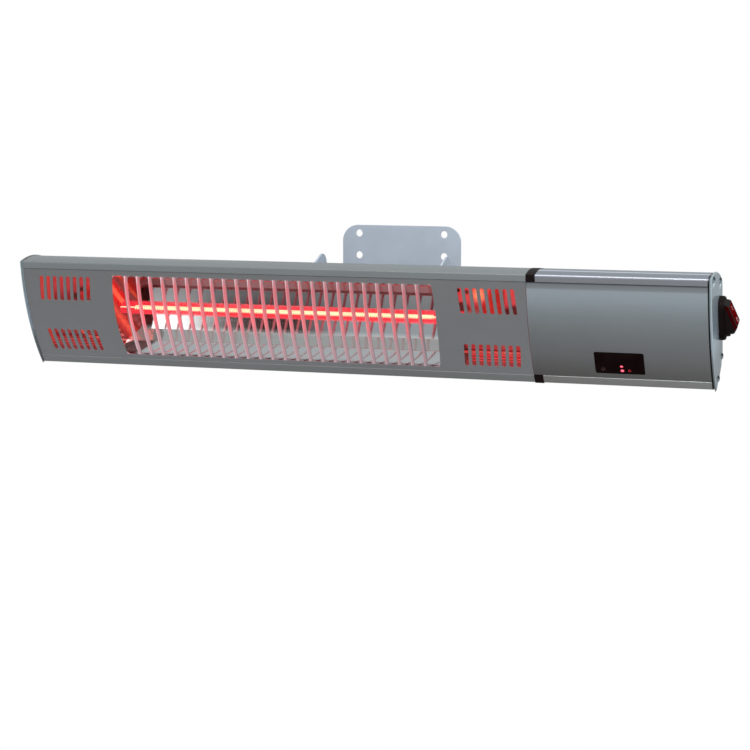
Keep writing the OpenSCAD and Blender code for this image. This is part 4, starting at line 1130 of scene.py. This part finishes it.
@dataclass
class Fasteners:
    """Screws, bolts and nuts with their recesses, chamfers and threads.

    A head holds its radius and height, and the recess its reach, half width and depth as shares of them.
    """

    cap_head: Pair = (3.5 * MM, 1.65 * MM)
    arm_head: Pair = (4.6 * MM, 2.6 * MM)
    recess: Triple = (0.62, 0.14, 0.62)
    arm_lift: float = 2.52 * MM
    arm_x: float = 0.0932
    arm_down: Pair = (0.016, 0.052)
    bolt_x: float = 0.0830
    nut_x: float = 0.0740
    hex_across: float = 0.0130
    chamfer: float = 0.99
    head_h: float = 0.0053
    nut_h: float = 0.0065
    bolt_r: float = 0.0040
    pitch: float = 0.00125
    bolt_end: float = 0.0660

    def head(self, radius: float, height: float, drive: Drive) -> Mesh:
        """Makes a pan head with its recess, standing on z = 0.

        Args:
            radius: Radius of the head.
            height: Height of the head.
            drive: Kind of recess.

        Returns:
            The mesh.
        """
        arm, half = radius * self.recess[0], radius * self.recess[1]

        def recess(r: float, a: float, z: float) -> Pair:
            """Sinks the points that lie in the recess."""
            x, y = abs(r * math.cos(a)), abs(r * math.sin(a))
            inside = (x < arm and y < half) or (drive is Drive.CROSS and y < arm and x < half)
            if inside and z > height * 0.4:
                z -= height * self.recess[2] * (1 - max(x, y) / arm * 0.6)
            return r, z

        dome = [(radius * k, height * (0.45 + 0.55 * math.sqrt(1 - (k * 0.98) ** 2))) for k in
                (0.99, 0.95, 0.88, 0.8, 0.72, 0.64, 0.6, 0.52, 0.44, 0.36, 0.28, 0.2, 0.16, 0.12, 0.06)]
        profile = [(0.0, 0.0), (radius, 0.0), (radius, height * 0.4)] + dome + [(0.0, height)]
        return turned("head", profile, 72, recess)

    def screws(self, name: str, head: Mesh, spots: Sequence[Matrix], finish: Finish,
               node: str) -> None:
        """Sets a head on each spot, each turned by a chance angle.

        Args:
            name: Name of the piece.
            head: Mesh of one head.
            spots: Places; z points out of the surface.
            finish: Finish of the heads.
            node: CAD node that the piece stands for.
        """
        points = bpy.data.meshes.new(name + "_points")
        points.from_pydata([spot.translation for spot in spots], [], [])
        tree = GeoTree(name + "_tree", {"Seed": 7})
        spread = tree.add("GeometryNodeInstanceOnPoints", {
            "Points": tree.source["Geometry"], "Instance": tree.model(head),
            "Rotation": spots[0].to_euler()})
        chance = tree.add("FunctionNodeRandomValue", {"Seed": tree.source["Seed"], 3: 2 * math.pi},
                          data_type="FLOAT")
        angle = tree.add("ShaderNodeCombineXYZ", {"Z": chance.outputs[1]})
        spun = tree.add("GeometryNodeRotateInstances", {
            "Instances": spread.outputs[0], "Rotation": angle.outputs[0], "Local Space": True})
        piece = tree.make(name, spun.outputs[0], finish, points)
        settle(piece, finish, "heater")
        soften(piece, angle=math.radians(35))
        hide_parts(node)

    def hexagon(self, bottom: bool) -> Shape:
        """Gives the shape that makes a disc a hexagon with a chamfer above and, if asked, below."""
        side = self.hex_across / 2
        sixth = math.pi / 3

        def shape(r: float, a: float, z: float) -> Pair:
            """Moves a point of the rim out to the hexagon and lowers it on the chamfer."""
            if r < side:
                return r, z
            out = side / math.cos((a + sixth / 2) % sixth - sixth / 2)
            drop = max(0.0, out - side * self.chamfer) * math.tan(math.radians(30))
            if z > self.nut_h * 0.6:
                return out, z - drop
            return out, z + drop if bottom else z

        return shape

    def thread(self, r: float, a: float, z: float) -> Pair:
        """Cuts a thread into a turned rod."""
        turn = (z / self.pitch + a / (2 * math.pi)) % 1.0
        return (r - self.pitch * 0.5 * abs(2 * turn - 1) if r > 0 else r), z

    def bolts(self) -> None:
        """Makes the two pivot bolts with chamfered heads and rolled threads, and their nuts."""
        side, bore = self.hex_across / 2, self.bolt_r * 1.02
        chamfer = side * self.chamfer
        foot = [(side * 0.9, 0.0), (side, 0.0)]
        head = [(0.0, 0.0), *foot, *((r, self.head_h) for r in (side, chamfer * 0.99, chamfer / 2, 0.0))]
        ring = [(bore, 0.0), *foot, *((r, self.nut_h) for r in (side, chamfer * 0.99, self.bolt_r * 1.15)),
                (bore, self.nut_h * 0.93)]
        shank = self.bolt_x - self.bolt_end
        steps = int(shank / self.pitch * 5)
        rod = [(self.bolt_r, -shank + shank * k / steps) for k in range(steps + 1)]
        bolts, nuts = [], []
        for sign in (1, -1):
            turn, inward = (Matrix.Translation((sign * x, *SECTION.pivot_place))
                            @ Matrix.Rotation(way * sign * math.pi / 2, 4, "Y")
                            for x, way in ((self.bolt_x, 1), (self.nut_x, -1)))
            bolts.append(placed(turned("head", head, 72, self.hexagon(False)), turn))
            bolts.append(placed(turned("rod", [(0.0, -shank), *rod, (0.0, 0.0)], 28, self.thread), turn))
            nuts.append(placed(turned("nut", ring, 72, self.hexagon(True), closed=True), inward))
        for name, parts, node in (("pivot_bolt_pair", bolts, "pivot_bolts"),
                                  ("pivot_nut_pair", nuts, "pivot_nuts")):
            piece = add_piece(name, merged(name, parts), ZINC, "bracket")
            soften(piece, angle=math.radians(25))
            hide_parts(node)

    def build(self) -> None:
        """Builds all screws, bolts and nuts."""
        cap_head = self.head(*self.cap_head, Drive.CROSS)
        for side, x, sign in (("left", X_LEFT, -1), ("right", X_RIGHT, 1)):
            spots = [SECTION.matrix() @ Matrix.Translation((x, y, z)) @
                     Matrix.Rotation(sign * math.pi / 2, 4, "Y") for y, z in CAP_SCREWS]
            self.screws(f"{side}_cap_screw_heads", cap_head, spots, SUNK,
                        f"{side}_cap_screws")
        arm_head = self.head(*self.arm_head, Drive.CROSS)
        spots = [SECTION.on_back(x, down, self.arm_lift)
                 for x in (-self.arm_x, self.arm_x) for down in self.arm_down]
        self.screws("arm_screw_heads", arm_head, spots, ZINC, "arm_screws")
        self.bolts()


@dataclass
class SwitchDress:
    """The raised I and O on the rocker and the red sides of its lens; the profiles are in millimetres."""

    face: float = 0.0174
    shift: float = 0.0078
    half_width: float = 0.0097
    bar: Triple = (5.6 * MM, 1.3 * MM, 0.6 * MM)
    bar_raise: Triple = (-0.1 * MM, 0.25 * MM, 0.1 * MM)
    plate_raise: Triple = (-0.35 * MM, 0.12 * MM, 0.05 * MM)
    ring: tuple[Pair, ...] = (
        (1.7, -0.1), (1.7, 0.2), (2.0, 0.25), (2.5, 0.25), (2.8, 0.2), (2.8, -0.1))
    side: tuple[Pair, ...] = (
        (13.0, 15.8), (15.3, 15.1), (16.8, 13.3), (16.8, -13.3), (15.3, -15.1), (13.0, -16.4))

    def frame(self) -> Matrix:
        """Gives the rocker's own frame as it stands at rest: X out of the cap, Z along the switch."""
        pivot = Matrix.Translation((ROCKER_PIVOT, *SWITCH_YZ))
        return SECTION.matrix() @ pivot @ Matrix.Rotation(-ROCKER_TURN, 4, "Y")

    def marks(self) -> list[Mesh]:
        """Makes both marks."""
        flat = self.frame() @ Matrix.Translation((self.face, 0, 0)) @ Matrix.Rotation(math.pi / 2, 4, "Y")
        bar = slab("bar", rounded(*self.bar), *self.bar_raise)
        ring = turned("ring", [(r * MM, z * MM) for r, z in self.ring], 40, closed=True)
        return [placed(bar, flat @ Matrix.Translation((-self.shift, 0, 0))),
                placed(ring, flat @ Matrix.Translation((self.shift, 0, 0)))]

    def sides(self) -> list[Mesh]:
        """Makes the red sides, thin plates let into both flanks of the rocker."""
        parts = []
        for way in (-1, 1):
            outline = [(x * MM, -way * z * MM) for x, z in self.side]
            plate = slab("side", outline, *self.plate_raise)
            flank = Matrix.Translation((0, way * self.half_width, 0))
            parts.append(placed(plate, self.frame() @ flank @ Matrix.Rotation(-way * math.pi / 2, 4, "X")))
        return parts

    def build(self) -> None:
        """Makes all details of the switch."""
        for name, parts, finish in (("switch_marks", self.marks(), MARK),
                                    ("lens_sides", self.sides(), LENS_SIDE)):
            piece = add_piece(name, merged(name, parts), finish, "rocker")
            soften(piece, angle=math.radians(40))


@dataclass
class DisplayIcons:
    """Power sign, two indicator lights and a small sign in the display."""

    window_depth: float = 0.6 * MM

    def spot(self, x: float, down: float, lift: float = 0.0) -> Matrix:
        """Gives a spot on the window's surface."""
        return SECTION.on_front(x, down, self.window_depth - lift)

    def light(self, name: str, x: float, down: float, radius: float, wide: float) -> None:
        """Makes a lit dome-shaped dot."""
        dome = [(radius * k, 0.06 * MM + 0.10 * MM * math.sqrt(1 - k * k))
                for k in (1.0, 0.9, 0.7, 0.45, 0.2)]
        mesh = turned(name, [(0.0, -0.3 * MM), (radius, -0.3 * MM)] + dome + [(0.0, 0.16 * MM)], 32)
        placed(mesh, self.spot(x, down) @ Matrix.Diagonal((wide, 1.0, 1.0, 1.0)))
        soften(add_piece(name, mesh, LED, "heater"), angle=math.radians(60))

    def sign(self, name: str, x: float, down: float, sizes: Triple,
             sweep: Pair, finish: Finish, slot: str) -> None:
        """Draws an open ring with a stem, the sign for power or for a timer.

        Args:
            name: Name of the piece.
            x: Place along the heater.
            down: Place down the front.
            sizes: Radius of the ring, radius of its line and reach of the stem from the ring's middle.
            sweep: Start and angle of the ring, in degrees.
            finish: Finish.
            slot: Material slot; not used.
        """
        radius, line, stem = sizes
        start, turn = map(math.radians, sweep)
        tree = GeoTree(name + "_tree",
                       {"Radius": radius, "Line": line, "Start": start, "Sweep": turn, "Steps": 28})
        size = tree.source
        ring = tree.add("GeometryNodeCurveArc", {
            "Resolution": size["Steps"], "Radius": size["Radius"], "Start Angle": size["Start"],
            "Sweep Angle": size["Sweep"]})
        bar = tree.add("GeometryNodeCurvePrimitiveLine",
                       {"Start": (0.0, stem * 0.35, 0.0), "End": (0.0, stem, 0.0)})
        lines = tree.joined(ring.outputs["Curve"], bar.outputs[0])
        piece = tree.make(name, tree.wire(lines, "Line", 8), finish)
        piece.data.transform(self.spot(x, down, -0.02 * MM))
        settle(piece, finish, "heater")

    def build(self) -> None:
        """Makes all signs of the display."""
        self.sign("power_sign", 0.2817, 0.1190, (1.9 * MM, 0.16 * MM, 2.3 * MM), (125, 290), FAINT,
                  "black_gloss")
        self.light("upper_light", 0.3036, 0.1144, 1.15 * MM, 1.5)
        self.light("lower_light", 0.3041, 0.1207, 1.65 * MM, 1.2)
        self.sign("timer_sign", 0.3127, 0.1202, (1.4 * MM, 0.22 * MM, 1.9 * MM), (100, 300), TIMER,
                  "indicator_red")


@dataclass
class GlandRibs:
    """Grip ribs around the cap nut of the cable gland."""

    x: float = 0.352
    down: float = 0.052
    radius: float = 9.4 * MM
    count: int = 18
    rib: Triple = (1.1 * MM, 1.5 * MM, 0.5 * MM)
    rib_raise: Triple = (4.6 * MM, 10.6 * MM, 0.3 * MM)

    def build(self) -> None:
        """Sets the ribs around the nut with a tree, then moves them to the back of the housing."""
        rib = slab("rib", rounded(*self.rib), *self.rib_raise)
        tree = GeoTree("gland_tree", {"Ribs": self.count, "Radius": self.radius})
        circle = tree.add("GeometryNodeMeshCircle",
                          {"Vertices": tree.source["Ribs"], "Radius": tree.source["Radius"]})
        place = tree.add("GeometryNodeInputPosition").outputs[0]
        face = tree.add("FunctionNodeAlignRotationToVector", {"Vector": place}, axis="X")
        ribs = tree.add("GeometryNodeInstanceOnPoints", {
            "Points": circle.outputs["Mesh"], "Instance": tree.model(rib), "Rotation": face.outputs[0]})
        piece = tree.make("gland_ribs", ribs.outputs[0], BLACK)
        piece.data.transform(SECTION.on_back(self.x, self.down))
        settle(piece, BLACK, "heater")
        soften(piece, angle=math.radians(40))


@dataclass
class Studio:
    """Camera, lights, floor and background.

    Each card of the background has its middle and half width across and up, and its colour. Each lamp has
    its place, its width and height, its power in watts and its colour.
    """

    position: Triple = (0.7638, -2.4363, 0.1735)
    yaw: float = math.radians(18.1636)
    pitch: float = math.radians(7.5444)
    focal_px: float = 2039.62
    frame_px: float = 750.0
    sensor: float = 36.0
    cards: tuple[tuple[Pair, Pair, Rgb], ...] = (
        ((-0.412, 0.020), (0.065, 0.10), (2.2, 2.2, 2.2)),
        ((-0.361, 0.026), (0.065, 0.12), (0.05, 0.008, 0.006)))
    sky: Stops = ((0.0, (0.46, 0.49, 0.52)), (0.35, (0.56, 0.60, 0.63)), (1.0, (0.50, 0.52, 0.54)))
    floor_half: float = 9.0
    floor_place: Triple = (0.0, -0.1, -0.75)
    floor_reach: float = 2.4
    # Painted shadow on the floor for reflected light: darkest under the heater, pale further out.
    floor_painted_shadow: Stops = ((0.0, (0.16, 0.13, 0.12)), (0.3, (0.38, 0.37, 0.37)), (0.9, (0.80, 0.82, 0.84)))
    aim: Triple = (0.0, -0.1, -0.06)
    lamps: tuple[tuple[str, Triple, Pair, float, Rgb], ...] = (
        ("key", (0.5, -2.2, 2.2), (1.6, 1.2), 40.0, (1.0, 0.99, 0.97)),
        ("fill", (2.4, -2.0, 0.9), (1.4, 1.4), 18.0, (0.94, 0.97, 1.0)),
        ("top", (0.2, -0.4, 2.2), (2.4, 0.9), 16.0, WHITE))

    def camera(self) -> None:
        """Places the camera where the photograph was taken from."""
        data = bpy.data.cameras.new("camera")
        data.sensor_fit = "HORIZONTAL"
        data.sensor_width = self.sensor
        data.lens = self.focal_px / self.frame_px * self.sensor
        data.clip_end = 50.0
        eye = linked("camera", data)
        eye.location = self.position
        eye.rotation_euler = (math.pi / 2 - self.pitch, 0.0, self.yaw)
        bpy.context.scene.camera = eye

    def show(self, graph: Graph, lit: Node, plain: str, output: str) -> None:
        """Ends a tree in what lights the scene, with plain white for the camera.

        Args:
            graph: The tree.
            lit: The shader that lights the scene.
            plain: Kind of the white shader.
            output: Kind of the output node.
        """
        white = graph.add(plain, {"Color": (*WHITE, 1.0), "Strength": 1.0})
        seen = graph.add("ShaderNodeLightPath").outputs["Is Camera Ray"]
        mix = graph.add("ShaderNodeMixShader", {0: seen, 1: lit.outputs[0], 2: white.outputs[0]})
        graph.add(output, {"Surface": mix.outputs[0]})

    def floor(self) -> None:
        """Lays a wide pale floor well below the heater, which the camera sees as plain white and which
        carries a painted shadow, darkest under the heater.
        """
        made = bpy.data.materials.new("pale_floor")
        graph = fresh_graph(made)
        distance = graph.away(graph.add("ShaderNodeTexCoord").outputs["Object"], ZERO)
        tone = graph.ramp(graph.span(distance, 0.0, self.floor_reach), self.floor_painted_shadow)
        diffuse = graph.add("ShaderNodeBsdfDiffuse", {"Color": tone})
        self.show(graph, diffuse, "ShaderNodeEmission", "ShaderNodeOutputMaterial")
        mesh = bpy.data.meshes.new("floor")
        half = self.floor_half
        corners = [(-half, -half, 0.0), (half, -half, 0.0), (half, half, 0.0), (-half, half, 0.0)]
        mesh.from_pydata(corners, [], [(0, 1, 2, 3)])
        mesh.materials.append(made)
        obj = linked("floor", mesh)
        obj.location = self.floor_place

    def world(self) -> None:
        """Makes the background white for the camera and dim for light."""
        world = bpy.data.worlds.new("studio")
        graph = fresh_graph(world)
        view = graph.add("ShaderNodeTexCoord").outputs["Generated"]
        way = graph.add("ShaderNodeSeparateXYZ", {0: view}).outputs
        sky = graph.ramp(graph.span(way["Z"], 0.0, 1.0), self.sky)
        for side, level, tone in self.cards:
            card = graph.times(graph.within(way["X"], *side, 0.004), graph.within(way["Z"], *level, 0.02))
            sky = graph.blend(card, sky, tone)
        dim = graph.add("ShaderNodeBackground", {"Color": sky, "Strength": 1.0})
        self.show(graph, dim, "ShaderNodeBackground", "ShaderNodeOutputWorld")
        bpy.context.scene.world = world

    def lights(self) -> None:
        """Hangs soft boxes that point at the middle of the heater."""
        for name, at, size, power, colour in self.lamps:
            data = bpy.data.lights.new(name, "AREA")
            data.shape = "RECTANGLE"
            data.size, data.size_y = size
            data.energy = power
            data.color = colour
            obj = linked(name, data)
            obj.location = at
            obj.rotation_euler = (Vector(self.aim) - Vector(at)).to_track_quat("-Z", "Y").to_euler()

    def build(self) -> None:
        """Sets up the whole studio."""
        self.camera()
        self.floor()
        self.world()
        self.lights()
        bpy.context.scene.view_settings.view_transform = "Standard"


def main() -> None:
    """Builds the pieces in order."""
    logging.basicConfig(level=logging.INFO, format="%(name)s: %(message)s")
    Studio().build()
    CadDress().dress()
    Lamp().build()
    Fasteners().build()
    SwitchDress().build()
    DisplayIcons().build()
    GlandRibs().build()


if __name__ == "__main__":
    main()
